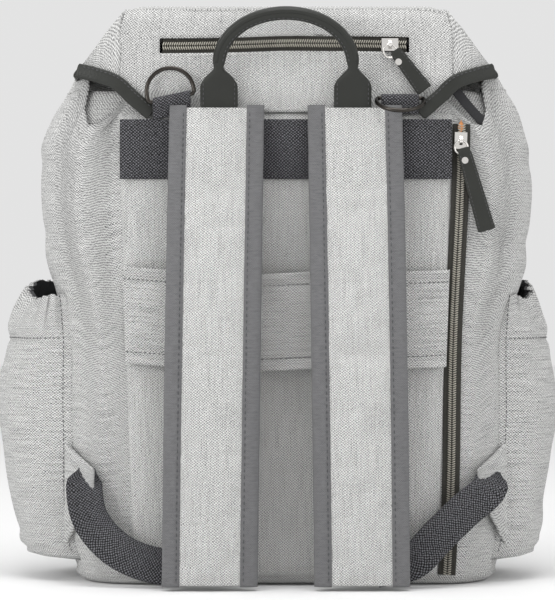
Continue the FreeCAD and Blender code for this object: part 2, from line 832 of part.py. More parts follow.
def make_lid_panel():
    """The fixed rear face of the lid, sewn in at its narrow foot, with the slot for the lid's zip."""
    panel = [
        ("-lid_seam_half", "lid_seam"),
        ("lid_seam_half", "lid_seam"),
        ("lid_corner_half", "lid_corner"),
        ("lid_corner_half", "lid_joint"),
        ("-lid_corner_half", "lid_joint"),
        ("-lid_corner_half", "lid_corner"),
    ]
    body = plate_body("lid_rear_panel", "XZ_Plane", panel, "panel_thick", ("0", "rear-panel_rear", "0"))
    slot_half = "(lid_zip_length/2+slot_margin)"
    slot = rectangle(
        f"lid_zip_x-{slot_half}",
        f"lid_zip_x+{slot_half}",
        "lid_zip_height-slot_width/2",
        "lid_zip_height+slot_width/2",
    )
    cut_through(body, outline(sketch_on(body, "XZ_Plane"), slot))
    sub_part(body, "lid_rear_panel")

    edges = []
    for side, sign in (("left", "-"), ("right", "")):
        strip = [
            (f"{sign}lid_seam_half", "lid_seam"),
            (f"{sign}lid_corner_half", "lid_corner"),
            (f"{sign}lid_corner_half", "lid_corner+edge_width"),
            (f"{sign}(lid_seam_half-edge_width)", "lid_seam"),
        ]
        face = "rear-panel_rear-panel_thick"
        edges.append(plate_body(f"panel_edge_{side}", "XZ_Plane", strip, "edge_thick", ("0", face, "0")))
    group("lid_rear_binding", edges)


def roof_line(drop):
    """The hood seen from behind, as a folded line: a flat top between two sloping wings, lowered by drop."""
    return [
        ("-hood_wing_half", f"hood_wing-({drop})"),
        ("-hood_half", f"hood_top-({drop})"),
        ("hood_half", f"hood_top-({drop})"),
        ("hood_wing_half", f"hood_wing-({drop})"),
    ]


def make_hood():
    """The moving part of the lid: the hood over the mouth, its front drop, bound edges and closing strap."""
    start = "rear+hood_start"
    depth = "body_depth-hood_start+hood_gap"
    roof_points = roof_line("0") + roof_line("hood_thick")[::-1]
    roof = plate_body("hood_roof", "XZ_Plane", roof_points, depth, ("0", start, "0"), reverse=True)
    bend = "0.29289*drop_round"
    drop = [
        ("-drop_half", "hood_wing-hood_thick"),
        ("-drop_half", "drop_low+drop_round", f"-drop_half+{bend}", f"drop_low+{bend}"),
        ("-drop_half+drop_round", "drop_low"),
        ("drop_half-drop_round", "drop_low", f"drop_half-{bend}", f"drop_low+{bend}"),
        ("drop_half", "drop_low+drop_round"),
        ("drop_half", "hood_wing-hood_thick"),
        ("hood_wing_half", "hood_wing-hood_thick"),
        ("hood_wing_half", "hood_wing"),
        ("hood_half", "hood_top"),
        ("-hood_half", "hood_top"),
        ("-hood_wing_half", "hood_wing"),
        ("-hood_wing_half", "hood_wing-hood_thick"),
    ]
    face = f"{FRONT}+hood_gap"
    front = plate_body("hood_drop", "XZ_Plane", drop, "hood_thick", ("0", face, "0"), reverse=True)
    sub_part(fused("lid_hood", [roof, front]), "lid_hood")

    edges = []
    upper_edge = "hood_wing+edge_width*(hood_top-hood_wing)/(hood_wing_half-hood_half)"
    for side, sign in (("left", "-"), ("right", "")):
        strip = [
            (f"{sign}hood_wing_half", "hood_wing"),
            (f"{sign}(hood_wing_half-edge_width)", upper_edge),
            (f"{sign}(hood_wing_half-edge_width+edge_thick)", f"{upper_edge}+edge_thick"),
            (f"{sign}(hood_wing_half+edge_thick)", "hood_wing+edge_thick"),
        ]
        edges.append(plate_body(f"hood_edge_{side}", "XZ_Plane", strip, depth, ("0", start, "0"), reverse=True))
    group("lid_hood_binding", edges)

    face = f"{FRONT}+hood_gap+hood_thick+closer_gap"
    half = "closer_width/2"
    closer = [
        ("-" + half, "closer_top"),
        ("-" + half, f"closer_top-closer_length+{half}", "0", "closer_top-closer_length"),
        (half, f"closer_top-closer_length+{half}"),
        (half, "closer_top"),
    ]
    plate("closure_strap", "XZ_Plane", closer, "closer_thick", ("0", face, "0"), reverse=True)

    seat = ("0", FRONT, "snap_height")
    sub_part(cylinder("snap_socket", "snap_round", "socket_thick", seat, OUT_FRONT), "snap_socket")
    stud_at = ("0", f"{FRONT}+socket_thick+snap_play", "snap_height")
    reach = "hood_gap+hood_thick+closer_gap-socket_thick-snap_play"
    sub_part(cylinder("snap_stud", "snap_round", reach, stud_at, OUT_FRONT), "snap_stud")


# ---- carry handle and D-rings --------------------------------------------------------------------


def make_handle():
    """An arched grip on two flared tabs, leaned out about its seam, and the tabs' ends sewn below the seam."""
    lean = FreeCAD.Rotation(X_AXIS, size("handle_lean"))
    at = ("0", "rear-handle_out", "handle_pivot")
    pieces = []
    for side, sign in (("left", "-"), ("right", "")):
        middle = f"{sign}handle_apart"
        tab = [
            (f"{middle}-tab_width/2", "tab_start"),
            (f"{middle}+tab_width/2", "tab_start"),
            (f"{middle}+tab_width/2", "tab_shoulder"),
            (f"{middle}+tab_neck/2", "tab_height"),
            (f"{middle}-tab_neck/2", "tab_height"),
            (f"{middle}-tab_width/2", "tab_shoulder"),
        ]
        pieces.append(plate_body(f"handle_tab_{side}", "XZ_Plane", tab, "tab_thick", both_ways=True))
    core_trim = size("core_trim")
    whole = fused("handle_whole", [arch_tube("handle_tube", "grip_round", 0), *pieces])
    handle = cut("carry_handle", whole, arch_tube("handle_bore", "core_round", core_trim))
    sub_part(place(handle, at, lean), "carry_handle")
    place(group("handle_core", [arch_tube("handle_cord", "core_round", core_trim)]), at, lean)

    top = "handle_pivot-anchor_gap"
    anchors = []
    for side, sign in (("left", "-"), ("right", "")):
        left, right = f"{sign}handle_apart-tab_width/2", f"{sign}handle_apart+tab_width/2"
        points = rectangle(left, right, "anchor_low", top)
        face = "rear-handle_out+tab_thick/2"
        anchors.append(plate_body(f"handle_anchor_{side}", "XZ_Plane", points, "tab_thick", ("0", face, "0")))
    group("handle_anchors", anchors)


def arch_tube(name, radius, trim):
    """Part of a torus in the XZ plane, through both necks and the top, trimmed at each end (degrees)."""
    chord = size("handle_apart")
    rise = size("grip_rise") - size("grip_start")
    arc = "((handle_apart^2+(grip_rise-grip_start)^2)/(2*(grip_rise-grip_start)))"
    arc_radius = (chord**2 + rise**2) / (2 * rise)
    start = math.degrees(math.asin((arc_radius - rise) / arc_radius)) + trim
    tube = doc.addObject("Part::Torus", name)
    tube.setExpression("Radius1", bound(arc))
    tube.setExpression("Radius2", bound(radius))
    tube.Angle3 = 180 - 2 * start
    turn = FreeCAD.Rotation(X_AXIS, 90).multiply(FreeCAD.Rotation(Z_AXIS, start))
    return place(tube, ("0", "0", f"grip_rise-{arc}"), turn)


def make_ring(side, sign, tilt, swing):
    """A bent-wire D-ring and the webbing loop that holds its bar. swing turns the ring about its bar."""
    out = "(band_thick+pad_thick+loop_wall+loop_play+ring_wire)"
    at = (f"{sign}ring_apart", f"rear-{out}", "ring_height")
    bar_tilt = FreeCAD.Rotation(Y_AXIS, -tilt)

    ring = new_body(f"d_ring_{side}", at, bar_tilt.multiply(FreeCAD.Rotation(X_AXIS, swing)))
    inner = "(ring_half-ring_corner)"
    bend = "0.29289*ring_corner"
    spine = outline(
        sketch_on(ring, "XZ_Plane"),
        [
            ("ring_half", "ring_corner"),
            ("ring_half", "ring_leg", "0", "ring_leg+ring_half"),
            ("-ring_half", "ring_leg"),
            ("-ring_half", "ring_corner", f"-ring_half+{bend}", bend),
            (f"-{inner}", "0"),
            (inner, "0", f"ring_half-{bend}", bend),
        ],
    )
    profile = circle(sketch_on(ring, "XY_Plane", "ring_corner"), "ring_half", "0", "ring_wire")
    pipe(ring, profile, spine)
    sub_part(ring, f"d_ring_{side}")

    loop = new_body(f"d_ring_loop_{side}", at, bar_tilt)
    outer = "(ring_wire+loop_play+loop_wall)"
    leaves = f"{outer}-2*loop_wall"
    low = "-(ring_height-loop_low)"
    meet = f"-sqrt({outer}^2-({leaves})^2)"
    section = [
        (outer, low),
        (outer, "0", "0", outer),
        ("-" + outer, "0", f"-0.70710678*{outer}", f"-0.70710678*{outer}"),
        ("0", f"-{outer}"),
        (leaves, meet),
        (leaves, low),
    ]
    pad(loop, outline(sketch_on(loop, "YZ_Plane"), section), "loop_width", both_ways=True)
    cut_through(loop, circle(sketch_on(loop, "YZ_Plane"), "0", "0", "ring_wire+loop_play"))
    sub_part(loop, f"d_ring_loop_{side}")


# ---- writing -------------------------------------------------------------------------------------


def check_and_write():
    """Stops on any failed object or bad shape, then writes each sub-part's STEP file."""
    doc.recompute()
    for thing in doc.Objects:
        if {"Invalid", "Error"} & set(thing.State):
            raise RuntimeError(f"{thing.Label} failed: {thing.State}")
    labels = [thing.Label for thing in sub_parts]
    if len(set(labels)) != len(labels):
        raise RuntimeError("two sub-parts share a label")
    os.makedirs("parts", exist_ok=True)
    for thing in sub_parts:
        if thing.Shape.isNull() or not thing.Shape.isValid() or not thing.Shape.Solids:
            raise RuntimeError(f"{thing.Label} has no valid solid")
        thing.Shape.exportStep(f"parts/{thing.Label}.step")
        box = thing.Shape.BoundBox
        sides = [round(v, 1) for v in (box.XMin, box.XMax, box.YMin, box.YMax, box.ZMin, box.ZMax)]
        volume = thing.Shape.Volume / 1000
        print(f"{thing.Label:22s} {len(thing.Shape.Solids)} solids {volume:8.2f} cm3 {sides}")
    print(len(sub_parts), "sub-parts")


def main():
    make_tub()
    make_eyelets()
    make_back()
    for side, sign, handed in (("left", "-", -1), ("right", "", 1)):
        make_strap(side, sign, handed)
        make_wing(side, sign, handed)
        make_pocket(side, sign)
    make_zips()
    make_front_pocket()
    make_lid_panel()
    make_hood()
    make_handle()
    make_ring("left", "-", size("ring_tilt"), -size("ring_back_lean"))
    make_ring("right", "", 0, size("ring_fallen"))
    check_and_write()


main()
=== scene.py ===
# %% [markdown]
# # A changing backpack and its straps
#
# The bag stands on its base and turns its shoulder straps to us. A CAD model fixes where each part is and
# how it moves. This lesson dresses that model: cloth, webbing, leather, zips and thread, each worked out on
# a grid.

# %% Load the frame
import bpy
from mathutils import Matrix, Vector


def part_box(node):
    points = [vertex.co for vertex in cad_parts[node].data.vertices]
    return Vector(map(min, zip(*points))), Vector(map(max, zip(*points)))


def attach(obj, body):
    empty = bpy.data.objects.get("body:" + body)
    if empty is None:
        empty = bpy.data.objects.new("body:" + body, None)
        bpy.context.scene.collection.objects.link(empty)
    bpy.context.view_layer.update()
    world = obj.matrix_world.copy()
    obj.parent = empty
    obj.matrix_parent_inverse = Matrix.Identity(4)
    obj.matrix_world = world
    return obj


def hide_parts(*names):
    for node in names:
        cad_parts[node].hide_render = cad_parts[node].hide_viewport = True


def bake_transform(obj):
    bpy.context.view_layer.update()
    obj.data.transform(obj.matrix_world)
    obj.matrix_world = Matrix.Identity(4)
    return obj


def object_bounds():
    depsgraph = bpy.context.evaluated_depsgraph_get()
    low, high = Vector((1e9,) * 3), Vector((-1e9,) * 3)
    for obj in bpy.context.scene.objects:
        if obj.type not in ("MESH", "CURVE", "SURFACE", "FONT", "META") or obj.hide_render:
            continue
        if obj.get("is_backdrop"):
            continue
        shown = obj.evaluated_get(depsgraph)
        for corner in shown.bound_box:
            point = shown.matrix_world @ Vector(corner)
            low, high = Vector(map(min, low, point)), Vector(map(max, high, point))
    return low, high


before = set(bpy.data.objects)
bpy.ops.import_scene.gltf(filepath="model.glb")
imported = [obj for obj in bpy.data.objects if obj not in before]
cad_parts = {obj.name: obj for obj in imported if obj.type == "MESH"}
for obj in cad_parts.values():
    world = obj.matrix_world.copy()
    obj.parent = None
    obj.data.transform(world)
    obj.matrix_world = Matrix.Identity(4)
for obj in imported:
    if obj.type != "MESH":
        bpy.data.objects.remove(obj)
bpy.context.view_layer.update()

# %% [markdown]
# ## Measures
#
# Everything is planned in millimetres and turned into metres only when a mesh is made. The places come from
# the CAD nodes: the rear and front walls of the tub, and the height of its mouth.

# %% Measures from the frame
import math
from contextlib import contextmanager

import bmesh
import bpy
import numpy as np

MM = 0.001
TURN = 2 * math.pi


def node_box(node):
    """The lowest and highest corner of a CAD node, in millimetres."""
    return tuple(np.array(corner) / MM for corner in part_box(node))


shell_low, shell_high = node_box("main_shell")
REAR, FRONT = shell_low[1], shell_high[1]
MIDDLE = (REAR + FRONT) / 2
MOUTH = shell_high[2]
REARWARD, FORWARD = (0, -1, 0), (0, 1, 0)
print("rear", REAR.round(1), "front", FRONT.round(1), "mouth", MOUTH.round(1))

# %% [markdown]
# ## Grids become meshes
#
# A sheet of cloth is a function of two numbers, so each piece starts as a grid of points: rows run along
# the cloth and columns run across it. The grid's own distances, in metres, become its UV map. A weave drawn
# on that map keeps its true size on every piece, whatever way the cloth turns.

# %% Grid helpers


def points(x, y, z):
    """Joins three coordinates, each a number or an array, into points."""
    return np.stack(np.broadcast_arrays(x, y, z), axis=-1)


def steps_between(stops, counts):
    """Even steps from each stop to the next. A count is the points in one run, both of its stops included."""
    runs = [np.linspace(start, end, count) for start, end, count in zip(stops, stops[1:], counts)]
    return np.concatenate([runs[0], *(run[1:] for run in runs[1:])])


def slot_mask(row_counts, column_counts):
    """A mask of a grid's faces: true in the middle run of its rows and of its columns."""
    inside = [np.repeat([False, True, False], np.array(counts) - 1) for counts in (row_counts, column_counts)]
    return inside[0][:, None] & inside[1][None]


def turned(grid, flip):
    """The grid with its columns reversed if flip is true, so that its faces point outwards."""
    return grid[:, ::-1] if flip else grid


@contextmanager
def editing(mesh):
    """Opens a mesh for edits, and writes them back when the block ends."""
    work = bmesh.new()
    work.from_mesh(mesh)
    yield work
    work.to_mesh(mesh)
    work.free()


def lengths_on(grid, closed=False):
    """UV for a grid: mean distance from the first column and from the first row, in metres."""
    wide = np.concatenate([grid, grid[:, :1]], axis=1) if closed else grid
    across = np.linalg.norm(np.diff(wide, axis=1), axis=2).mean(0)
    along = np.linalg.norm(np.diff(grid, axis=0), axis=2).mean(1)
    u = np.concatenate([[0.0], np.cumsum(across)])
    v = np.concatenate([[0.0], np.cumsum(along)])
    return np.stack(np.meshgrid(u, v), axis=2) * MM


def quads_of(grid, closed=False, keep=None):
    """Corner numbers and corner UVs of a grid's faces. keep is a mask of the faces that stay."""
    rows, columns = grid.shape[:2]
    across = columns if closed else columns - 1
    i, j = (a.ravel() for a in np.meshgrid(np.arange(rows - 1), np.arange(across), indexing="ij"))
    if keep is not None:
        i, j = i[keep.ravel()], j[keep.ravel()]
    following = (j + 1) % columns
    row, above = i * columns, (i + 1) * columns
    faces = np.stack([row + j, row + following, above + following, above + j], axis=1)
    uv = lengths_on(grid, closed)
    corners = np.stack([uv[i, j], uv[i, j + 1], uv[i + 1, j + 1], uv[i + 1, j]], axis=1)
    return faces, corners


def mesh_of(name, grids, closed=False, keep=None, merge=0.0):
    """One mesh from one grid or several, in metres. merge joins points nearer than that (mm)."""
    grids = [grids] if isinstance(grids, np.ndarray) else grids
    keeps = keep if isinstance(keep, list) else [keep] * len(grids)
    spots, faces, corners, start = [], [], [], 0
    for grid, mask in zip(grids, keeps):
        f, c = quads_of(grid, closed, mask)
        spots.append(grid.reshape(-1, 3) * MM)
        faces.append(f + start)
        corners.append(c)
        start += grid.shape[0] * grid.shape[1]
    mesh = bpy.data.meshes.new(name)
    mesh.from_pydata(np.concatenate(spots), [], np.concatenate(faces))
    layer = mesh.uv_layers.new(name="UVMap")
    layer.data.foreach_set("uv", np.concatenate(corners).astype(np.float32).ravel())
    with editing(mesh) as work:
        if merge:
            bmesh.ops.remove_doubles(work, verts=work.verts, dist=merge * MM)
        loose = [v for v in work.verts if not v.link_faces]
        bmesh.ops.delete(work, geom=loose, context="VERTS")
    return mesh


# %% [markdown]
# ## Finishing a piece
#
# Each mesh becomes an object that rides on a body. Where cloth crosses a joint, the piece rides on no body:
# its place is only baked into its points. A Solidify modifier gives cloth its wall, and Subdivision rounds
# its folds.

# %% Piece helper


def add_piece(name, mesh, finish, body=None, stands_for=(), wall=0.0, side=-1.0, rounds=0, blend=None):
    """Makes the object and gives it its wall (mm), rounding, the material of its finish (material, slot) and
    its body; with a blend it gets no body, and its place is baked into its points.
    """
    piece = bpy.data.objects.new(name, mesh)
    bpy.context.scene.collection.objects.link(piece)
    material, slot = finish
    mesh.materials.append(material)
    mesh.polygons.foreach_set("use_smooth", np.ones(len(mesh.polygons), bool))
    if wall:
        solid = piece.modifiers.new("wall", "SOLIDIFY")
        solid.thickness = wall * MM
        solid.offset = side
        solid.use_even_offset = False
    if rounds:
        soft = piece.modifiers.new("rounding", "SUBSURF")
        soft.levels = soft.render_levels = rounds
    if blend is None:
        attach(piece, body)
    else:
        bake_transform(piece)
    if stands_for:
        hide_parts(*([stands_for] if isinstance(stands_for, str) else stands_for))
    return piece


def add_cloth(name, grids, finish, body=None, closed=False, keep=None, merge=0.0, **more):
    """One piece of cloth from one grid or several. closed joins each grid's last column to its first."""
    return add_piece(name, mesh_of(name, grids, closed, keep, merge), finish, body, **more)


def smoothstep(low, high, x):
    """0 at low, 1 at high, and an S-curve between. high may be the smaller of the two."""
    t = np.clip((x - low) / (high - low), 0, 1)
    return t * t * (3 - 2 * t)


def bump(x, centre, width):
    """A bell curve of height 1."""
    return np.exp(-(((x - centre) / width) ** 2))


def curve_through(knots, values, x):
    """A smooth curve through a few knots: cubic pieces, whose slopes are the mean slopes around each knot."""
    knots, values = np.asarray(knots, float), np.asarray(values, float)
    slopes = np.gradient(values, knots, axis=0)
    k = np.clip(np.searchsorted(knots, x) - 1, 0, len(knots) - 2)
    span = knots[k + 1] - knots[k]
    t = (np.clip(x, knots[0], knots[-1]) - knots[k]) / span
    shape = (slice(None),) * t.ndim + (None,) * (values.ndim - 1)
    t, span = t[shape], span[shape]
    near, far = values[k], values[k + 1]
    return (
        near * (1 + 2 * t) * (1 - t) ** 2
        + slopes[k] * span * t * (1 - t) ** 2
        + far * t**2 * (3 - 2 * t)
        + slopes[k + 1] * span * t**2 * (t - 1)
    )


SWELL_FRAMES = 20


def inflate(piece, held, pressure=4.0, spare=0.015, cap=2.5):
    """Swells a padded piece as cloth with air in it. held marks its seams; no point moves past cap (mm)."""
    group = piece.vertex_groups.new(name="held")
    group.add(np.flatnonzero(held).tolist(), 1.0, "REPLACE")
    cloth = piece.modifiers.new("cloth", "CLOTH")
    cloth.settings.quality = 4
    cloth.settings.vertex_group_mass = "held"
    cloth.settings.use_pressure = True
    cloth.settings.uniform_pressure_force = pressure
    cloth.settings.shrink_min = -spare
    cloth.settings.effector_weights.gravity = 0.0
    for number in range(1, SWELL_FRAMES + 1):
        bpy.context.scene.frame_set(number)
    evaluated = piece.evaluated_get(bpy.context.evaluated_depsgraph_get())
    before, after = (np.empty(3 * len(mesh.vertices)) for mesh in (piece.data, evaluated.data))
    piece.data.vertices.foreach_get("co", before)
    evaluated.data.vertices.foreach_get("co", after)
    move = (after - before).reshape(-1, 3)
    length = np.linalg.norm(move, axis=1, keepdims=True)
    move *= np.minimum(1, cap * MM / np.maximum(length, 1e-9))
    piece.modifiers.remove(cloth)
    piece.vertex_groups.remove(group)
    piece.data.vertices.foreach_set("co", before + move.ravel())
    piece.data.update()
    bpy.context.scene.frame_set(1)
    print(piece.name, "swells by", (np.linalg.norm(move, axis=1).max() / MM).round(2), "mm at most")


chance = np.random.default_rng(618)


def creases(u, v, size, count=9):
    """Soft cloth unevenness, about -1 to 1: a sum of slanted waves, whose lengths are near size."""
    total = np.zeros(np.broadcast(u, v).shape)
    for _ in range(count):
        angle, phase = chance.uniform(0, math.pi), chance.uniform(0, TURN)
        length = size * chance.uniform(0.6, 1.7)
        total = total + np.sin(TURN * (u * math.cos(angle) + v * math.sin(angle)) / length + phase)
    return total / math.sqrt(count)


# %% [markdown]
# ## Shader groups
#
# Three effects come back in many finishes, so each is built once as a node group. `weave` draws crossing
# threads. `slubs` draws the long thick and thin places of spun yarn. `grain` draws the pebbled skin of
# leather.

# %% Node helpers


class Nodes:
    """A thin helper that adds nodes to a tree and links their sockets."""

    def __init__(self, tree):
        self.tree = tree

    def add(self, kind, values=(), **settings):
        """A node with its settings. Each value goes on a socket, or is a link into it."""
        node = self.tree.nodes.new(kind)
        for key, value in settings.items():
            setattr(node, key, value)
        for socket, value in dict(values).items():
            if isinstance(value, bpy.types.NodeSocket):
                self.link(value, node.inputs[socket])
            else:
                node.inputs[socket].default_value = value
        return node

    def link(self, start, end):
        """Joins two sockets."""
        self.tree.links.new(start, end)

    def math(self, operation, first, second=0.0, third=0.0, clamp=False):
        """The result of one sum on numbers or sockets."""
        sockets = {0: first, 1: second, 2: third}
        return self.add("ShaderNodeMath", sockets, operation=operation, use_clamp=clamp).outputs[0]

    def mix(self, share, first, second):
        """The colour between two colours."""
        return self.add("ShaderNodeMix", {0: share, 6: first, 7: second}, data_type="RGBA").outputs[2]


def new_group(name, inputs, outputs):
    """An empty node group with named float or vector sockets."""
    tree = bpy.data.node_groups.new(name, "ShaderNodeTree")
    for socket, value in inputs:
        kind = "NodeSocketVector" if value is None else "NodeSocketFloat"
        made = tree.interface.new_socket(socket, in_out="INPUT", socket_type=kind)
        if value is not None:
            made.default_value = value
    for socket in outputs:
        tree.interface.new_socket(socket, in_out="OUTPUT", socket_type="NodeSocketFloat")
    nodes = Nodes(tree)
    return nodes, nodes.add("NodeGroupInput").outputs, nodes.add("NodeGroupOutput").inputs, tree


def make_weave_group():
    """Threads over and under: a sharpened product of two sine waves, high where the lit thread is up."""
    inputs = [("Vector", None), ("Warp", 1.6), ("Weft", 1.6), ("Sharp", 2.6)]
    nodes, given, result, tree = new_group("weave", inputs, ["Over", "Height"])
    noise = nodes.add("ShaderNodeTexNoise", {"Vector": given["Vector"], "Scale": 0.3 / MM, "Detail": 1.0})
    wander = {0: noise.outputs["Color"], 1: (1.7 * MM,) * 3}
    jitter = nodes.add("ShaderNodeVectorMath", wander, operation="MULTIPLY").outputs[0]
    spot = nodes.add("ShaderNodeVectorMath", {0: given["Vector"], 1: jitter}, operation="ADD").outputs[0]
    parts = nodes.add("ShaderNodeSeparateXYZ", {0: spot}).outputs
    waves = []
    for axis, pitch in ((0, "Warp"), (1, "Weft")):
        turns = nodes.math("DIVIDE", nodes.math("MULTIPLY", parts[axis], TURN / MM), given[pitch])
        waves.append(nodes.math("SINE", turns))
    product = nodes.math("MULTIPLY", waves[0], waves[1])
    sharp = nodes.math("MULTIPLY", product, given["Sharp"])
    over = nodes.math("MULTIPLY_ADD", sharp, 0.5, 0.5, clamp=True)
    nodes.link(over, result["Over"])
    nodes.link(product, result["Height"])
    return tree


def make_slub_group():
    """Noise stretched along one direction: Length and Width are its size in millimetres."""
    inputs = [("Vector", None), ("Length", 24.0), ("Width", 1.2), ("Seed", 0.0)]
    nodes, given, result, tree = new_group("slubs", inputs, ["Mask"])
    parts = nodes.add("ShaderNodeSeparateXYZ", {0: given["Vector"]}).outputs
    scaled = [
        nodes.math("DIVIDE", nodes.math("MULTIPLY", parts[axis], 1 / MM), given[size])
        for axis, size in ((0, "Length"), (1, "Width"))
    ]
    spot = nodes.add("ShaderNodeCombineXYZ", {0: scaled[0], 1: scaled[1], 2: given["Seed"]}).outputs[0]
    noise = nodes.add("ShaderNodeTexNoise", {"Vector": spot, "Scale": 1.0, "Detail": 2.0, "Roughness": 0.6})
    nodes.link(noise.outputs[0], result["Mask"])
    return tree


def make_grain_group():
    """Leather pebbles from cell distances, with a slow noise that makes some areas smoother than others."""
    nodes, given, result, tree = new_group("grain", [("Vector", None), ("Pebble", 1.1)], ["Height", "Wear"])
    scale = nodes.math("DIVIDE", 1 / MM, given["Pebble"])
    cells = nodes.add("ShaderNodeTexVoronoi", {"Vector": given["Vector"], "Scale": scale},
                      feature="SMOOTH_F1")
    slow = nodes.add("ShaderNodeTexNoise", {"Vector": given["Vector"], "Scale": 60.0, "Detail": 4.0})
    nodes.link(cells.outputs["Distance"], result["Height"])
    nodes.link(slow.outputs[0], result["Wear"])
    return tree


WEAVE, SLUBS, GRAIN = make_weave_group(), make_slub_group(), make_grain_group()
print("groups", [g.name for g in (WEAVE, SLUBS, GRAIN)])

# %% [markdown]
# ## Finishes
#
# The bag's cloth is a light grey melange: pale yarn with dark specks where the darker yarn comes up, and
# long slubs. Its numbers differ between the tub, whose slubs run level, and the straps, whose slubs run
# down. Webbing is the same idea, inverted: dark ribs with pale specks.

# %% Material helpers


def new_material(name, roughness, metallic=0.0, sheen=0.0):
    """A material with its Principled shader's even values set on the shader's own sockets."""
    material = bpy.data.materials.new(name)
    material.use_nodes = True
    nodes = Nodes(material.node_tree)
    shader = material.node_tree.nodes["Principled BSDF"]
    values = {"Roughness": roughness, "Metallic": metallic, "Sheen Weight": sheen, "Sheen Roughness": 0.5,
              "Specular IOR Level": 0.5 if metallic else 0.3}
    for socket, value in values.items():
        shader.inputs[socket].default_value = value
    return material, nodes, shader


def use_group(nodes, tree, **values):
    """The outputs of a shader group placed in a material with the material's own values."""
    return nodes.add("ShaderNodeGroup", values, node_tree=tree).outputs


def dent(nodes, shader, height, distance, strength=1.0):
    """Feeds a height through a Bump node into the shader's Normal. distance is in millimetres."""
    made = nodes.add("ShaderNodeBump", {"Height": height, "Distance": distance * MM, "Strength": strength})
    nodes.link(made.outputs[0], shader.inputs["Normal"])


def woven(name, light, dark, pitch, specks, slub, slub_size, roughness=0.85, relief=0.25, sheen=0.04,
          turned=False, ribs=0.0):
    """Cloth on its UV map. specks and slub are how much dark yarn each adds, and turned runs slubs down."""
    material, nodes, shader = new_material(name, roughness, sheen=sheen)
    uv = nodes.add("ShaderNodeUVMap", uv_map="UVMap").outputs[0]
    if turned:
        uv = nodes.add("ShaderNodeMapping", {"Vector": uv, "Rotation": (0, 0, math.pi / 2)}).outputs[0]
    threads = use_group(nodes, WEAVE, Vector=uv, Warp=pitch[0], Weft=pitch[1])
    long_slubs = use_group(nodes, SLUBS, Vector=uv, Length=slub_size[0], Width=slub_size[1])
    fine = use_group(nodes, SLUBS, Vector=uv, Length=3.0, Width=0.8, Seed=4.0)
    lifted = nodes.math("MULTIPLY_ADD", fine["Mask"], 1.3, 0.1)
    low = nodes.math("MULTIPLY", nodes.math("SUBTRACT", 1.0, threads["Over"]), lifted)
    share = nodes.math("MULTIPLY", low, specks)
    streak = nodes.math("MULTIPLY_ADD", long_slubs["Mask"], 2.6, -1.05, clamp=True)
    share = nodes.math("MULTIPLY_ADD", streak, slub, share, clamp=True)
    nodes.link(nodes.mix(share, (*light, 1), (*dark, 1)), shader.inputs["Base Color"])
    height = threads["Height"]
    if ribs:
        parts = nodes.add("ShaderNodeSeparateXYZ", {0: uv}).outputs
        turns = nodes.math("MULTIPLY", parts[0], math.pi / MM / ribs)
        ridge = nodes.math("ABSOLUTE", nodes.math("SINE", turns))
        height = nodes.math("MULTIPLY_ADD", ridge, 1.5, height)
    dent(nodes, shader, height, relief)
    return material


def leather(name, colour, roughness=0.42, pebble=1.0, relief=0.12):
    """Matt grained leather: its colour drifts a little, and worn areas are smoother."""
    material, nodes, shader = new_material(name, roughness)
    place = nodes.add("ShaderNodeTexCoord").outputs["Object"]
    skin = use_group(nodes, GRAIN, Vector=place, Pebble=pebble)
    lighter = tuple(min(1, c * 1.5) for c in colour)
    nodes.link(nodes.mix(skin["Wear"], (*colour, 1), (*lighter, 1)), shader.inputs["Base Color"])
    rough = nodes.math("MULTIPLY_ADD", skin["Wear"], 0.3, roughness - 0.15)
    nodes.link(rough, shader.inputs["Roughness"])
    dent(nodes, shader, skin["Height"], relief)
    return material


def metal(name, colour, roughness):
    """Plated metal with faint handling marks in its gloss."""
    material, nodes, shader = new_material(name, roughness, metallic=1.0)
    place = nodes.add("ShaderNodeTexCoord").outputs["Object"]
    marks = nodes.add("ShaderNodeTexNoise", {"Vector": place, "Scale": 900.0, "Detail": 3.0}).outputs[0]
    shader.inputs["Base Color"].default_value = (*colour, 1)
    rough = nodes.math("MULTIPLY_ADD", marks, 0.16, roughness - 0.08)
    nodes.link(rough, shader.inputs["Roughness"])
    return material


# %% The bag's finishes
MELANGE = (0.80, 0.80, 0.785), (0.035, 0.035, 0.04)
CLOTH = (woven("melange_level", *MELANGE, (2.2, 1.9), 0.9, 0.34, (30, 0.9)), "melange_cloth")
CLOTH_DOWN = (woven("melange_down", *MELANGE, (1.9, 2.2), 0.85, 0.24, (30, 0.9), turned=True),
              "melange_cloth")
BINDING = (woven("binding_twill", (0.22, 0.22, 0.225), (0.06, 0.06, 0.064), (1.3, 1.3), 0.6, 0.35,
                 (6, 1.3), sheen=0.1), "binding_cloth")
WEBBING = (woven("dark_webbing", (0.24, 0.24, 0.26), (0.010, 0.010, 0.012), (2.5, 2.2), 2.6, 0.3,
                 (3, 1.5), relief=0.5, roughness=0.7, ribs=1.2), "webbing")
TAPE = (woven("zip_tape", (0.065, 0.062, 0.054), (0.014, 0.014, 0.012), (0.9, 0.9), 0.9, 0.2, (4, 1),
              relief=0.15), "zip_tape")
COPPER = (woven("copper_lining", (0.62, 0.27, 0.10), (0.42, 0.16, 0.05), (0.6, 0.6), 0.3, 0.1, (9, 1),
                roughness=0.5, relief=0.05), "copper_lining")
FACING = (woven("dark_facing", (0.035, 0.035, 0.038), (0.012, 0.012, 0.013), (0.8, 0.8), 0.6, 0.2,
                (6, 1), roughness=0.75, relief=0.05), "dark_lining")
LEATHER = (leather("dark_leather", (0.019, 0.020, 0.0175)), "trim_leather")
# The coil's pale grey is partly painted sheen: it is made light to stand in for the shine of its loops.
COIL_WITH_PAINTED_SHEEN = (leather("coil_nylon_painted_sheen", (0.34, 0.325, 0.28), roughness=0.25, pebble=0.4, relief=0.02), "zip_coil")
NICKEL = (metal("bright_nickel", (0.82, 0.80, 0.77), 0.16), "zip_nickel")
GUNMETAL = (metal("gunmetal", (0.055, 0.05, 0.045), 0.22), "gunmetal")
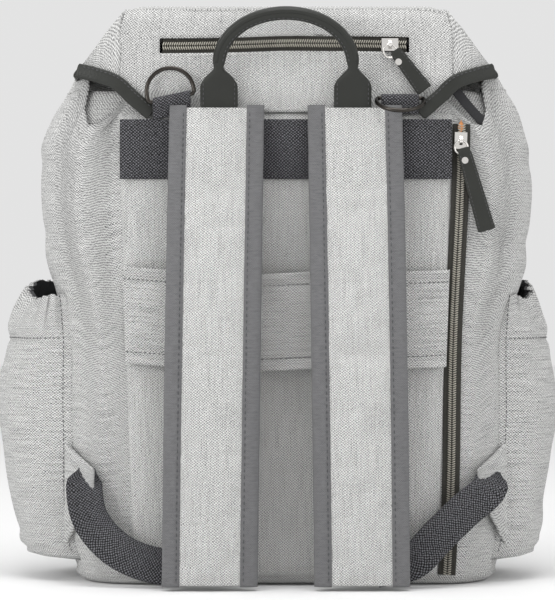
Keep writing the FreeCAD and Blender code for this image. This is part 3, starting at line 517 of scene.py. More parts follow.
THREAD = (woven("dark_thread", (0.10, 0.10, 0.105), (0.03, 0.03, 0.03), (0.4, 0.4), 0.5, 0.2, (2, 1),
                relief=0.02), "binding_cloth")
PALE_THREAD = (woven("pale_thread", (0.5, 0.5, 0.49), (0.3, 0.3, 0.3), (0.4, 0.4), 0.5, 0.2, (2, 1),
                     relief=0.02), "melange_cloth")
POCKET_LINING = (woven("pocket_lining", (0.10, 0.10, 0.105), (0.05, 0.05, 0.052), (0.8, 0.8), 0.5, 0.2,
                       (6, 1)), "dark_lining")
FOAM = (woven("foam_grey", (0.5, 0.5, 0.48), (0.4, 0.4, 0.4), (1, 1), 0.3, 0.3, (2, 2)), "foam")
BLACK = (leather("moulded_black", (0.02, 0.02, 0.021), roughness=0.5, pebble=0.3, relief=0.02),
         "dark_plastic")
print("materials", len(bpy.data.materials))

# %% [markdown]
# ## Thread and teeth
#
# A row of stitches and a zip's teeth are the same thing to draw: one small rounded bar, repeated at steps
# along a line. The bar has few faces, because there are hundreds of it.

# %% Bars along a line


def frames_along(path, out):
    """Unit vectors along a path, outwards, and across it. out is a direction, or one for each point."""
    along = np.gradient(path, axis=0)
    along /= np.linalg.norm(along, axis=1, keepdims=True)
    out = np.broadcast_to(np.asarray(out, float), path.shape)
    out = out - (out * along).sum(1, keepdims=True) * along
    out /= np.linalg.norm(out, axis=1, keepdims=True)
    return along, out, np.cross(along, out)


def evenly(path, step):
    """Points at equal steps along a path of straight runs, and where they are on it, from 0 to 1."""
    runs = np.linalg.norm(np.diff(path, axis=0), axis=1)
    reach = np.concatenate([[0], np.cumsum(runs)])
    count = max(2, int(round(reach[-1] / step)))
    spots = (np.arange(count) + 0.5) * reach[-1] / count
    return points(*(np.interp(spots, reach, path[:, k]) for k in range(3))), spots / reach[-1]


def nearest_on(path, share):
    """The number of the path's point that is nearest each share of its length."""
    return np.clip((share * (len(path) - 1)).round().astype(int), 0, len(path) - 1)


def bars(centres, along, out, length, radius, height=None, sides=6):
    """Rounded bars as one grid list: each has five rings whose radii follow a half ellipse."""
    height = radius if height is None else height
    ring = np.linspace(-1, 1, 5)
    swell = np.sqrt(np.clip(1 - ring**4, 0.0, 1))
    angle = np.arange(sides) * TURN / sides
    across = np.cross(along, out)
    spine = centres[:, None, None, :] + along[:, None, None, :] * (ring * length / 2)[None, :, None, None]
    wide = across[:, None, None, :] * (np.cos(angle) * radius)[None, None, :, None]
    tall = out[:, None, None, :] * (np.sin(angle) * height)[None, None, :, None]
    return spine + (wide + tall) * np.maximum(swell, 0.02)[None, :, None, None]


def bars_mesh(name, grids):
    """All bars in one mesh, ends closed: the numbers of one bar's faces are repeated for every bar."""
    count, rows, sides = grids.shape[:3]
    i, j = (a.ravel() for a in np.meshgrid(np.arange(rows - 1), np.arange(sides), indexing="ij"))
    j2 = (j + 1) % sides
    near, far = i * sides, (i + 1) * sides
    quads = np.stack([near + j, far + j, far + j2, near + j2], axis=1)
    caps = [list(range(sides)), [(rows - 1) * sides + k for k in reversed(range(sides))]]
    starts = np.arange(count) * rows * sides
    faces = (quads[None] + starts[:, None, None]).reshape(-1, 4).tolist()
    faces += [[start + c for c in cap] for start in starts for cap in caps]
    mesh = bpy.data.meshes.new(name)
    mesh.from_pydata(grids.reshape(-1, 3) * MM, [], faces)
    mesh.uv_layers.new(name="UVMap")
    with editing(mesh) as work:
        bmesh.ops.recalc_face_normals(work, faces=work.faces)
    return mesh


def stitches(paths, out, step=3.4, length=2.3, radius=0.33):
    """Bars for several rows of stitches, each a path, all with one outward direction."""
    rows = []
    for path in paths:
        spots, share = evenly(path, step)
        along, outward, _ = frames_along(path, out)
        pick = nearest_on(path, share)
        rows.append(bars(spots, along[pick], outward[pick], length, radius))
    return np.concatenate(rows)


print("bar faces", 4 * 6 + 2)

# %% [markdown]
# ## Sweeps
#
# Straps, leather edges, tabs and the grip are all one idea: a rounded oblong carried along a path. Its
# width and its thickness may change on the way, so one function can make a flat tab that turns into a round
# grip.

# %% Sweep helpers


def normals_of(grid, closed=False):
    """Unit vectors that point outwards: the columns' direction crossed with the rows' direction."""
    wide = np.concatenate([grid[:, -1:], grid, grid[:, :1]], axis=1) if closed else grid
    across = np.gradient(wide, axis=1)
    across = across[:, 1:-1] if closed else across
    normal = np.cross(across, np.gradient(grid, axis=0))
    return normal / np.maximum(np.linalg.norm(normal, axis=2, keepdims=True), 1e-9)


def push(grid, amount, closed=False):
    """Moves each point outwards by its own amount."""
    return grid + normals_of(grid, closed) * amount[..., None]


def smooth_path(spots, count):
    """A smooth curve through a few points, with count points on it."""
    spots = np.asarray(spots, float)
    return curve_through(np.arange(len(spots)), spots, np.linspace(0, len(spots) - 1, count))


def sweep(path, out, half_width, half_thick, columns=20, square=4.0, cap=0.8):
    """A rounded oblong along a path. Its flat face looks along out, and its ends close over cap (mm)."""
    along, outward, across = frames_along(path, out)
    count = len(path)
    wide = np.broadcast_to(half_width, (count,))
    thick = np.broadcast_to(half_thick, (count,))
    angle = np.arange(columns) * TURN / columns
    cosine, sine = (np.sign(wave) * np.abs(wave) ** (2 / square) for wave in (np.cos(angle), np.sin(angle)))
    section = across[:, None] * (wide[:, None] * cosine)[..., None]
    section = section + outward[:, None] * (thick[:, None] * sine)[..., None]
    body = path[:, None] + section
    first = [path[:1, None] + section[:1] * share - along[:1, None] * cap * depth
             for share, depth in ((0.0, 1.0), (0.75, 0.95))]
    last = [path[-1:, None] + section[-1:] * share + along[-1:, None] * cap * depth
            for share, depth in ((0.75, 0.95), (0.0, 1.0))]
    return np.concatenate([*first, body, *last])


def add_sweeps(name, grids, finish, body=None, **more):
    """One piece from one closed sweep or several."""
    mesh = mesh_of(name, grids, closed=True, merge=0.002)
    with editing(mesh) as work:
        bmesh.ops.recalc_face_normals(work, faces=work.faces)
    return add_piece(name, mesh, finish, body, **more)


def add_stitches(name, paths, out, body=None, thread=None, blend=None, **sizes):
    """One piece of thread from several rows of stitches."""
    mesh = bars_mesh(name, stitches(paths, out, **sizes))
    return add_piece(name, mesh, thread or THREAD, body, blend=blend)


# %% [markdown]
# ## The tub
#
# The bag's main part is one closed wall of cloth. Each level ring is a rounded oblong. Rings are narrower
# at the base, widest near three quarters of the height, and drawn in at the mouth. The top edge is not
# level: it drops to a notch at each rear corner, where the side panels fold over and rise under the lid.

# %% Rings and the rim
ARC, STRAIGHTS = 13, (34, 70, 34, 70)
HALF_DEPTH, CORNER, RIM_LEVEL = 75.0, 45.0, 366
HEIGHTS = (0, 28, 120, 200, 225, 250, 282, 307, 333, 346, 358, 375)
WIDTHS = (153, 160, 163, 167, 174, 178, 181, 179.5, 175.5, 170, 162, 153)


def tub_ring(half_width, half_depth, radius):
    """Level rings: four quarter circles joined by straight runs, from the front left corner, turning left."""
    half_width, half_depth, radius = (np.asarray(a, float)[:, None] for a in (half_width, half_depth, radius))
    turns = np.linspace(0, math.pi / 2, ARC)[None]
    arcs = []
    for sign_x, sign_y, first in ((-1, 1, 90), (-1, -1, 180), (1, -1, 270), (1, 1, 0)):
        angle = math.radians(first) + turns
        x = sign_x * (half_width - radius) + radius * np.cos(angle)
        y = sign_y * (half_depth - radius) + radius * np.sin(angle)
        arcs.append(np.stack([x, y], axis=2))
    parts = []
    for k, count in enumerate(STRAIGHTS):
        start, end = arcs[k][:, -1:], arcs[(k + 1) % 4][:, :1]
        share = (np.arange(1, count + 1) / (count + 1))[None, :, None]
        parts += [arcs[k], start + (end - start) * share]
    return np.concatenate(parts, axis=1)


def half_width_at(level):
    """Half the tub's width at a level."""
    return curve_through(HEIGHTS, WIDTHS, level)


station = tub_ring([172], [HALF_DEPTH], [CORNER])[0]
is_rear = station[:, 1] < -20
across_rear = np.abs(station[:, 0])
level_rim = 371 - 14 * smoothstep(-10, 60, station[:, 1])
notched_rim = 359 - 27 * smoothstep(117, 142, across_rear) + 38 * smoothstep(143, 160, across_rear)
RIM = np.where(is_rear, notched_rim, level_rim)


def tub_grid(low, rim, rows, inset=0.0):
    """The wall between a level and a rim that varies by column: its rows are level, and bend near the rim."""
    rim = np.broadcast_to(rim, (len(station),))[None]
    level = np.linspace(low, RIM_LEVEL, rows)
    height = level[:, None] + (rim - RIM_LEVEL) * smoothstep(min(295, low), RIM_LEVEL, level)[:, None]
    half_depth, corner = np.full(rows, HALF_DEPTH - inset), np.full(rows, CORNER - inset)
    ring = tub_ring(half_width_at(level) - inset, half_depth, corner)
    factor = (half_width_at(height) - inset) / np.abs(ring[..., 0]).max(1, keepdims=True)
    flat = 1 + (factor - 1) * smoothstep(60, 150, np.abs(ring[..., 0]))
    return points(ring[..., 0] * flat, MIDDLE + ring[..., 1], height)


print("rim", RIM.min().round(), "to", RIM.max().round())

# %% Wall, folds and foot
# The folds are spaced along the ring, which is about this long.
AROUND = 1034
wall = tub_grid(10, RIM, 96)
side_share = smoothstep(100, 150, np.abs(wall[..., 0]))
turn = np.linspace(0, 1, wall.shape[1], endpoint=False)[None] * AROUND
high = wall[..., 2]
sag = creases(turn, high * 1.6, 120) * 0.9 + creases(turn, high * 0.8, 55) * 0.4
folds = bump(high, 236 + 6 * np.sin(turn / 31), 9) * 1.4 - bump(high, 252 + 5 * np.sin(turn / 23), 7) * 1.2
folds = folds + bump(high, 322 + 0.16 * wall[..., 1], 8) * 1.2 - bump(high, 306, 7) * 0.8
pleats = np.sin(turn / 17 * TURN / 2 + 0.8 * np.sin(turn / 60)) * smoothstep(300, 360, high) * 1.5
seam_dip = 2.4 * bump(wall[..., 0], -126, 5) * (wall[..., 1] < REAR + 12) * smoothstep(352, 330, high)
wall = push(wall, (sag + folds + pleats) * side_share - seam_dip, closed=True)

foot = []
for inset, height, scale in ((9, 1.6, 0.0), (9, 1.6, 0.6), (9, 1.2, 0.97), (8, 0.0, 1), (4.2, 1.0, 1),
                             (1.6, 3.6, 1), (0.4, 6.8, 1)):
    ring = tub_ring([153 + height * 0.4 - inset], [HALF_DEPTH - inset], [CORNER - inset])[0] * scale
    foot.append(points(ring[:, 0], MIDDLE + ring[:, 1], height))
bag_body = add_cloth("bag_body", np.concatenate([np.stack(foot), wall]), CLOTH, "bag", closed=True,
                     merge=0.01, stands_for=("main_shell", "bottom_panel"), wall=1.6)
print("body faces", len(bag_body.data.polygons))

# %% [markdown]
# ### Lining and facing
#
# The lining hangs inside the wall, and a facing of the bag's own cloth runs round the mouth above it. At
# the notches the facing shows behind the wall, because it stays level there. A dark strip in the right notch
# is painted shade: it stands for the dark inside of the bag seen through the notch.

# %% Lining
lining = tub_grid(6, 326, 40, inset=4.5)
lining = push(lining, creases(turn, lining[..., 2], 60) * 0.5 - 0.6, closed=True)
add_cloth("body_lining", lining, COPPER, "bag", closed=True, stands_for="main_lining", wall=0.5)
facing_rim = np.where(is_rear, 357.5, RIM_LEVEL) - 3 * (station[:, 1] > 20)
facing_rows = 14
facing = tub_grid(322, facing_rim, facing_rows, inset=5.0)
facing = push(facing, pleats[-facing_rows:] * 0.5, closed=True)
add_cloth("mouth_facing_cloth", facing, CLOTH, "bag", closed=True, stands_for="mouth_facing", wall=0.8)
hem_row = push(wall, np.full(wall.shape[:2], 0.4), closed=True)[-4]
rear_corners = [hem_row[(across_rear > 122) & is_rear & (station[:, 0] * side > 0)] for side in (-1, 1)]
add_stitches("hem_stitches", rear_corners, REARWARD, "bag", thread=PALE_THREAD)
# A dark strip along the right notch: painted shade of the bag's dark inside, seen through the notch.
notch_shade_path = smooth_path([(123, REAR + 0.6, 357), (134, REAR + 2.6, 344), (147, REAR + 8, 331)], 30)
add_sweeps("mouth_shade_strip_right", [sweep(notch_shade_path, REARWARD, 3.4, 0.7, columns=12)], FACING, "bag")
print("lining rows", len(lining), "facing rows", facing_rows)

# %% [markdown]
# ## The padded back
#
# A thin cushion covers the rear wall. It is highest in the middle and falls to the wall at its edges, where
# a row of stitches holds it. A band of dark webbing crosses it near the top, and the sleeve for a suitcase
# handle crosses it lower down. Both bow out a little, as sewn-down strips do.

# %% Back pad


def rear_sheet(low, high, half_low, half_high, columns, rows):
    """Points u across (-1 to 1) and v up (0 to 1) on the rear, as x, z, u and v grids."""
    u, v = np.meshgrid(np.linspace(-1, 1, columns), np.linspace(0, 1, rows))
    return u * (half_low + (half_high - half_low) * v), low + (high - low) * v, u, v


x, z, u, v = rear_sheet(6, 342, 110.5, 121.5, 121, 151)
crown = (1 - np.abs(u) ** 14) * (1 - np.abs(2 * v - 1) ** 24)
edge_groove = bump(np.abs(u), 0.955, 0.012)
height = 6.2 * np.clip(crown, 0, 1) ** 0.5 - edge_groove + creases(x, z, 90) * 0.5 * crown
back_pad = add_cloth("back_pad", points(x, REAR + 1.0 - height - crown, z), CLOTH_DOWN, "bag",
                     stands_for=("back_panel", "back_foam"))
print("pad faces", len(back_pad.data.polygons))

# %% Band and sleeve
x, z, u, v = rear_sheet(293, 336, 119.5, 119.5, 97, 25)
y = REAR - 8.2 - 0.4 * np.cos(u * 9) - 0.6 * np.sin(v * math.pi)
add_cloth("anchor_webbing", points(x, y, z), WEBBING, "bag", stands_for="anchor_band", wall=1.6)
edges = [points(np.linspace(-118, 118, 60), REAR - 9.4, level) for level in (296, 333)]
add_stitches("band_stitches", edges, REARWARD, "bag")

x, z, u, v = rear_sheet(159, 229, 115.5, 118, 121, 49)
bow = 8.2 * (1 - np.abs(u) ** 5)
ripple = creases(x, z * 2.2, 70) * 0.8 * (1 - np.abs(u) ** 6)
z_sag = z - 3.5 * (1 - u**2) + 1.2 * np.sin(u * 5)
from_edge = np.minimum(v, 1 - v)
hem_roll = 0.9 * bump(from_edge, 0.02, 0.05) - 0.5 * bump(from_edge, 0.12, 0.025)
sleeve_grid = points(x, REAR - 6.6 - bow - ripple - hem_roll, z_sag)
sleeve = add_cloth("sleeve_cloth", sleeve_grid, CLOTH, "bag", stands_for="trolley_sleeve", wall=1.4)
add_stitches("sleeve_stitches", [sleeve_grid[row] + [0, -0.35, 0] for row in (6, 42)], REARWARD, "bag")
print("sleeve faces", len(sleeve.data.polygons))

# %% [markdown]
# ## Shoulder straps
#
# Each strap is a long cushion. Seen from the side it is a bowed wedge: thin where it is sewn on, thick
# halfway down. Across it, a groove on each side marks where the binding is stitched. The cover and the
# bindings share one section function, so the binding always wraps the cover's edge. Air pressure then
# swells the cover.

# %% Strap shape
STRAP_TOP, STRAP_DROP, HALF_STRAP = node_box("shoulder_strap_left")[1][2], 341.0, 33.2
knots = np.array([0, 185, 340.0])
near_curve = np.polyfit(knots, [9.6, 32, 28], 2)
far_curve = np.polyfit(knots, [13.2, 45, 39.5], 2)


def strap_middle(drop, side):
    """Where a strap's middle line is across the bag: the two straps part a little as they fall."""
    return side * (49.5 + 4.5 * drop / 340)


def strap_point(across, drop, face, side, grow=0.0):
    """A point of a strap, across from its middle and drop below its top, on the far (1) or near (-1) face."""
    near, far = np.polyval(near_curve, drop), np.polyval(far_curve, drop)
    half = (far - near) / 2
    inner = np.clip(np.abs(across) / 22.0, 0, 1)
    outer = np.clip((np.abs(across) - 22.0) / 11.5, 0, 1)
    shape = 1.06 - 0.16 * inner**2 - 0.10 * bump(np.abs(across), 22.5, 1.6)
    shape = shape * np.sqrt(np.clip(1 - outer**2.6, 0, 1)) ** 0.8
    y = REAR - (near + far) / 2 - face * (half * shape + grow * (0.4 + 0.6 * shape))
    return points(strap_middle(drop, side) + (across + np.sign(across) * grow * outer), y, STRAP_TOP - drop)


def strap_cover(side, word):
    """A cover: both faces in one closed loop of columns, closed at both ends, swollen between its seams."""
    even = np.linspace(2, STRAP_DROP - 3, 130)
    rows = np.concatenate([[0.0, 0.6], even, [STRAP_DROP - 1, STRAP_DROP]])[::-1]
    across = np.linspace(-HALF_STRAP, HALF_STRAP, 45)
    face = np.repeat([1.0, -1.0], len(across))[None]
    cross, fall = np.meshgrid(np.concatenate([across, across[::-1]]), rows)
    grid = strap_point(cross, fall, face, side)
    puff = creases(cross, fall * 0.5, 60) * 0.45 + 0.35 * np.sin(fall / 21 + 2.2 * np.sin(fall / 90))
    grid[..., 1] -= puff * np.clip(1 - (cross / 21) ** 4, 0, 1) * face
    grid[:1] = (grid[:1] + grid[:1].mean(1, keepdims=True) * 3) / 4
    mesh = mesh_of(f"strap_cover_{word}", grid, closed=True)
    with editing(mesh) as work:
        bmesh.ops.holes_fill(work, edges=[e for e in work.edges if e.is_boundary])
        bmesh.ops.recalc_face_normals(work, faces=work.faces)
    cover = add_piece(f"strap_cover_{word}", mesh, CLOTH_DOWN, f"strap_{word}",
                      stands_for=(f"shoulder_strap_{word}", f"strap_foam_{word}"))
    spots = np.empty(3 * len(mesh.vertices))
    mesh.vertices.foreach_get("co", spots)
    x, _, z = spots.reshape(-1, 3).T / MM
    drop = STRAP_TOP - z
    at_seam = np.abs(x - strap_middle(drop, side)) > 21.4
    inflate(cover, at_seam | (drop < 6) | (drop > STRAP_DROP - 6))
    return cover


def strap_edges(side, word):
    """The two bindings that wrap a cover's edges, puckered along their stitches, and the stitches."""
    rows = np.linspace(-2.0, STRAP_DROP, 150)[::-1]
    grids, lines = [], []
    for edge in (-1, 1):
        reach = steps_between((21.6, HALF_STRAP, 21.6), (13, 13))
        faces = np.repeat([1.0, -1.0], [13, 12])
        if edge < 0:
            reach, faces = reach[::-1], faces[::-1]
        cross, fall = np.meshgrid(edge * reach, rows)
        pucker = 0.8 + 0.28 * np.sin(fall / 5.2 + edge) * bump(np.abs(cross), 27, 5)
        grids.append(strap_point(cross, fall, faces[None], side, grow=pucker))
        lines.append(strap_point(edge * 23.6, np.linspace(3, STRAP_DROP - 3, 120), 1.0, side, grow=1.0))
    body = f"strap_{word}"
    add_cloth(f"strap_edges_{word}", grids, BINDING, body, stands_for=f"strap_binding_{word}", wall=0.8)
    add_stitches(f"strap_stitches_{word}", lines, REARWARD, body, step=4.6, length=2.9, radius=0.42)


for side, word in ((-1, "left"), (1, "right")):
    cover = strap_cover(side, word)
    strap_edges(side, word)
    print(cover.name, len(cover.data.polygons))

# %% [markdown]
# ## Lower webbing and side wings
#
# A ribbon runs from each side wing to the adjuster behind the strap. Its middle line is a curve through a
# few points, and its width lies in the plane of the bag's back. It rides on neither the bag nor the strap:
# its place is baked into its points.

# %% Ribbons and wings


def ribbon(path, out, half_width, columns=13, curl=0.0):
    """A strip along a path, facing out. curl lifts its edges. Rows run along the path and columns across."""
    _, outward, across = frames_along(path, out)
    share = np.linspace(-1, 1, columns)[None, :, None]
    wide = np.broadcast_to(half_width, (len(path),))[:, None, None]
    return path[:, None] + across[:, None] * share * wide + outward[:, None] * curl * share**2


RIBBONS = {
    "left": (-1, ((144, -6.0, 84), (145, 6.5, 68), (139, 12.0, 46), (119, 16.5, 26), (90, 20.4, 16),
                  (62, 22.0, 20))),
    "right": (1, ((150, -9.0, 81), (145, 7.0, 69), (127, 13.5, 54), (107, 17.5, 35), (90, 20.4, 19),
                  (64, 22.5, 13.5))),
}
for word, (side, spots) in RIBBONS.items():
    share = np.linspace(0, 1, 90)
    middle = smooth_path([(side * x, REAR - out, z) for x, out, z in spots], 90)
    strip = ribbon(middle, REARWARD, 13.0 - 7.0 * smoothstep(0.14, 0.0, share), curl=0.9)
    share = share[:, None]
    strip[..., 1] -= 0.6 * np.sin(share * 150) * smoothstep(0.4, 0.05, share) + 0.9 * np.sin(share * 11)
    start, end = (side * 0.136, (REAR - 9) * MM, 0.060), (side * 0.078, (REAR - 20) * MM, 0.022)
    add_cloth(f"ribbon_{word}", turned(strip, side > 0), WEBBING, blend=("bag", f"strap_{word}", start, end),
              stands_for=f"lower_webbing_{word}", wall=1.6)
    t, s = np.meshgrid(np.linspace(0, 1, 15), np.linspace(0, 1, 25))
    seam = points(side * 163, REAR + 23.0, 24 + 79 * s)
    tip = points(side * 139, REAR - 7.0, 76.0 + (s - 0.5) * 16)
    wing = seam + (tip - seam) * t[..., None]
    wing[..., 1] -= 3.2 * np.sin(t * math.pi) * np.sin(s * math.pi)
    add_cloth(f"wing_{word}", turned(wing, side > 0), CLOTH, "bag", stands_for=f"side_wing_{word}", wall=1.8)
    print("ribbon and wing", word)

# %% [markdown]
# ## Handle and ring loops
#
# The handle is one leather strap. Its ends are flat tabs sewn to the bag, its necks are pinched, and
# between them it is folded lengthwise into a grip. So it is one sweep whose width and thickness change
# along its path.

# %% Handle
TAB_AT, HANDLE_FOOT, lean = 48.0, 350, math.radians(20)
arch_angle = np.linspace(-1, 1, 121) * math.pi / 2
arch = np.stack([TAB_AT * np.sin(arch_angle), 24 + 39.5 * np.cos(arch_angle) ** 0.92], axis=1)
tab = np.stack([np.full(26, TAB_AT), np.linspace(-20, 23, 26)], axis=1)
sideways, rise = np.concatenate([tab * [-1, 1], arch, tab[::-1]]).T
handle_path = points(sideways, REAR - 10.2 - np.clip(rise, 0, None) * math.sin(lean),
                     HANDLE_FOOT + np.where(rise > 0, rise * math.cos(lean), rise))
on_tab = np.abs(sideways) > TAB_AT - 0.1
half_width = 4.7 + 8.8 * smoothstep(23.5, 9, rise) ** 0.75 * on_tab
half_width = half_width - 1.2 * bump(rise, 23, 4) * (np.abs(sideways) > TAB_AT - 3)
half_thick = 4.2 - 2.9 * smoothstep(24, 4, rise) * on_tab
handle_out = (0, -math.cos(lean), -math.sin(lean))
grip = sweep(handle_path, handle_out, half_width, half_thick, columns=36, square=3.2)
handle_blend = ("bag", "handle", (0, (REAR - 10) * MM, 0.342), (0, (REAR - 12) * MM, 0.357))
add_sweeps("handle_leather", [grip], LEATHER, blend=handle_blend,
           stands_for=("carry_handle", "handle_core", "handle_anchors"))
print("handle reaches", handle_path[:, 2].max().round(1))

# %% Handle stitches
TAB_FACE, TAB_LOW, TAB_HIGH = REAR - 11.9, 331.5, 362
tab_lines = []
for side in (-1, 1):
    z = np.linspace(TAB_LOW, TAB_HIGH, 24)
    y = TAB_FACE - np.clip(z - HANDLE_FOOT, 0, None) * math.tan(lean)
    tab_lines += [points(side * TAB_AT + edge * 11.2, y, z) for edge in (-1, 1)]
    tab_lines.append(points(side * TAB_AT + np.linspace(-11, 11, 12), TAB_FACE, TAB_LOW))
add_stitches("tab_stitches", tab_lines, REARWARD, blend=handle_blend, length=2.2)
_, outward, across = frames_along(handle_path, handle_out)
on_arch = slice(30, -30)
fold = handle_path + across * 2.7 + outward * 4.25
add_stitches("grip_stitches", [fold[on_arch]], REARWARD, "handle", length=2.2, radius=0.3)
seam = handle_path - across * 2.2 + outward * 3.9
grip_seam = sweep(seam[on_arch], outward[on_arch], 1.6, 0.75, columns=10, square=2)
add_sweeps("grip_fold", [grip_seam], LEATHER, "handle")
print("rows of stitches on the tabs", len(tab_lines))

# %% Ring loops
LOOP_AT, LOOP_TOP = 82.0, 351.0
loops = []
for side, tilt, foot_z in ((-1, 12.0, 338.5), (1, 0.0, 340.0)):
    angle = np.linspace(0, math.pi, 15)
    climb = np.linspace(foot_z - LOOP_TOP, -0.4, 15)
    front_leg = points(0, 2.4 - 5.3 * smoothstep(0, 1, angle / math.pi), climb)
    over = points(0, -2.9 * np.cos(angle), 2.9 * np.sin(angle))
    rear_leg = points(0, np.linspace(2.9, 4.3, 15), climb[::-1])
    path = np.concatenate([front_leg, over, rear_leg])
    share = np.linspace(-13.5, 13.5, 15)
    centre = np.array([side * LOOP_AT, REAR - 11.1, LOOP_TOP])
    loops.append(centre + path[:, None] + points(share, 0, share * math.tan(math.radians(tilt)))[None])
add_cloth("ring_loops", loops, WEBBING, "bag", wall=1.4, stands_for=("d_ring_loop_left", "d_ring_loop_right"))
print("loops", len(loops))

# %% [markdown]
# ## The lid
#
# The lid is a hood: a rear panel that is sewn to the bag, a roof with sloping wings, and a flap that drops
# over the front. The rear panel stays, and the roof turns about the line where they meet. Small gussets
# close the corner between them; like the roof cloth, they ride on no body. A slot in the rear panel shows the
# zip.

# %% Lid's rear panel
LID_ZIP = 390


def lid_zip_wave(x):
    """The lid's zip lies slightly wavy: its height above its own straight line."""
    return 0.9 * np.sin((x + 30) / 38) + 0.5 * bump(x, 0, 22)


SLOT_LEFT, SLOT_RIGHT, SLOT_REACH = -0.7583, 0.7417, 5.4
column_counts, row_counts = (12, 71, 12), (22, 7, 12)
u, z = np.meshgrid(steps_between((-1, SLOT_LEFT, SLOT_RIGHT, 1), column_counts),
                   steps_between((341.5, LID_ZIP - SLOT_REACH, LID_ZIP + SLOT_REACH, 415.5), row_counts))
x = u * (98 + 22 * smoothstep(341, 360, z) - 4 * smoothstep(392, 417, z))
z = z + lid_zip_wave(x) * bump(z, LID_ZIP, 16)
y = REAR - 4.3 - creases(x, z * 1.5, 80) * 0.9 - 1.6 * bump(np.abs(x), 119, 3) + 2.5 * smoothstep(408, 417, z)
add_cloth("lid_rear_cloth", points(x, y, z), CLOTH_DOWN, "bag", keep=~slot_mask(row_counts, column_counts),
          wall=1.4, stands_for=("lid_rear_panel", "lid_rear_binding"))
x = np.linspace(-92, 90, 70)
slot_lines = [points(x, REAR - 6.0, LID_ZIP + lid_zip_wave(x) + offset) for offset in (-7.4, 7.4)]
slot_lines += [points(end, REAR - 5.8, LID_ZIP + lid_zip_wave(end) + np.linspace(-6.5, 6.5, 8))
               for end in (-94.5, 92.5)]
add_stitches("slot_stitches", slot_lines, REARWARD, "bag", thread=PALE_THREAD, length=2.2, radius=0.28)
print("slot faces left out", slot_mask(row_counts, column_counts).sum())

# %% Roof and front drop
RIDGE, FLAT_HALF, DROP_LOW = 0.76, 116, 290
roof_u, roof_v = np.meshgrid(steps_between((-1, -RIDGE, RIDGE, 1), (14, 60, 14)), np.linspace(0, 1, 50))
reach = np.abs(roof_u)
tip = 150 + 6 * roof_v
slope_x = FLAT_HALF + (reach - RIDGE) / (1 - RIDGE) * (tip - FLAT_HALF)
roof_x = np.sign(roof_u) * np.where(reach < RIDGE, reach / RIDGE * FLAT_HALF, slope_x)
wing_drop = np.clip((np.abs(roof_x) - FLAT_HALF) / (tip - FLAT_HALF), 0, 1)
roof_z = 418.5 - 46.5 * wing_drop**1.05 - 3.0 * roof_v
roof_z = roof_z - 3.5 * bump(reach, RIDGE, 0.05) + creases(roof_x, roof_v * 150, 90) * 1.1 * roof_v
roof_z = roof_z - 2.5 * (1 - smoothstep(0, 0.035, roof_v)) ** 2 - 5 * smoothstep(0.93, 1.0, roof_v) ** 2
roof_y = REAR - 2.0 + (FRONT + 5.5 - REAR) * roof_v + 4 * wing_drop * (1 - roof_v)
roof = points(roof_x, roof_y, roof_z)
share = np.linspace(0, 1, 60)[:, None]
bottom = roof[-1, ::-1]
corner = 1 - np.clip(share * 125 / 40, 0, 1)
full_width = 150 - 40 * (1 - np.sqrt(np.clip(1 - corner**2, 0, 1)))
side_fit = np.clip(np.abs(bottom[:, 0]) / 153, 0, 1) * np.sign(bottom[:, 0])
drop_x = side_fit * full_width * (1 - share**3) + bottom[:, 0] * share**3
drop_z = DROP_LOW + (bottom[:, 2] - DROP_LOW) * share
drop_y = FRONT + 5.0 + creases(drop_x, drop_z, 80) * 0.7 + 1.2 * np.sin(share * math.pi)
drop = points(drop_x, drop_y, drop_z)
drop[-1] = bottom
hood_blend = ("bag", "lid", (0, (REAR - 3) * MM, 0.4), (0, (REAR + 14) * MM, 0.4))
hood = add_cloth("hood_cloth", [roof, drop], CLOTH_DOWN, merge=0.05, blend=hood_blend, wall=2.0,
                 stands_for=("lid_hood", "lid_hood_binding"))
print("hood faces", len(hood.data.polygons))

# %% Gussets and lid edges
EDGE_SPOTS = ((97, 7.0, 340.5), (110, 7.2, 351.5), (122, 6.8, 362.5), (136, 4.5, 368), (150, 1, 371.5))
for side, word in ((-1, "left"), (1, "right")):
    v, s = np.meshgrid(np.linspace(0, 1, 12), np.linspace(0, 1, 24))
    low_line = points(120 + 28 * v, REAR - 4.5 + 5.5 * v, 362 + 9.5 * v)
    high_line = points(117 + 33 * v, REAR - 3.0 + 5.0 * v, 414.5 - 42.0 * v)
    gusset = low_line + (high_line - low_line) * s[..., None]
    gusset[..., 1] -= 1.3 * np.sin(s * math.pi) * (1 - v) + 0.5 * np.sin(v * 8)
    corner_blend = ("bag", "lid", (side * 0.119, 0, 0.36), (side * 0.138, 0, 0.37))
    add_cloth(f"lid_gusset_{word}", turned(gusset * [side, 1, 1], side < 0), CLOTH_DOWN, blend=corner_blend,
              wall=1.4)
    edge_path = smooth_path([(side * x, REAR - out, z) for x, out, z in EDGE_SPOTS], 70)
    add_sweeps(f"lid_edge_{word}", [sweep(edge_path, REARWARD, 5.4, 1.5, columns=20, square=3)], LEATHER,
               blend=corner_blend)
    _, _, across = frames_along(edge_path, REARWARD)
    line = edge_path + across * 3.4 * np.sign(across[35, 2]) + [0, -1.55, 0]
    add_stitches(f"lid_edge_stitches_{word}", [line[3:-3]], REARWARD, blend=corner_blend, length=2.4)
    print("gusset and edge", word)

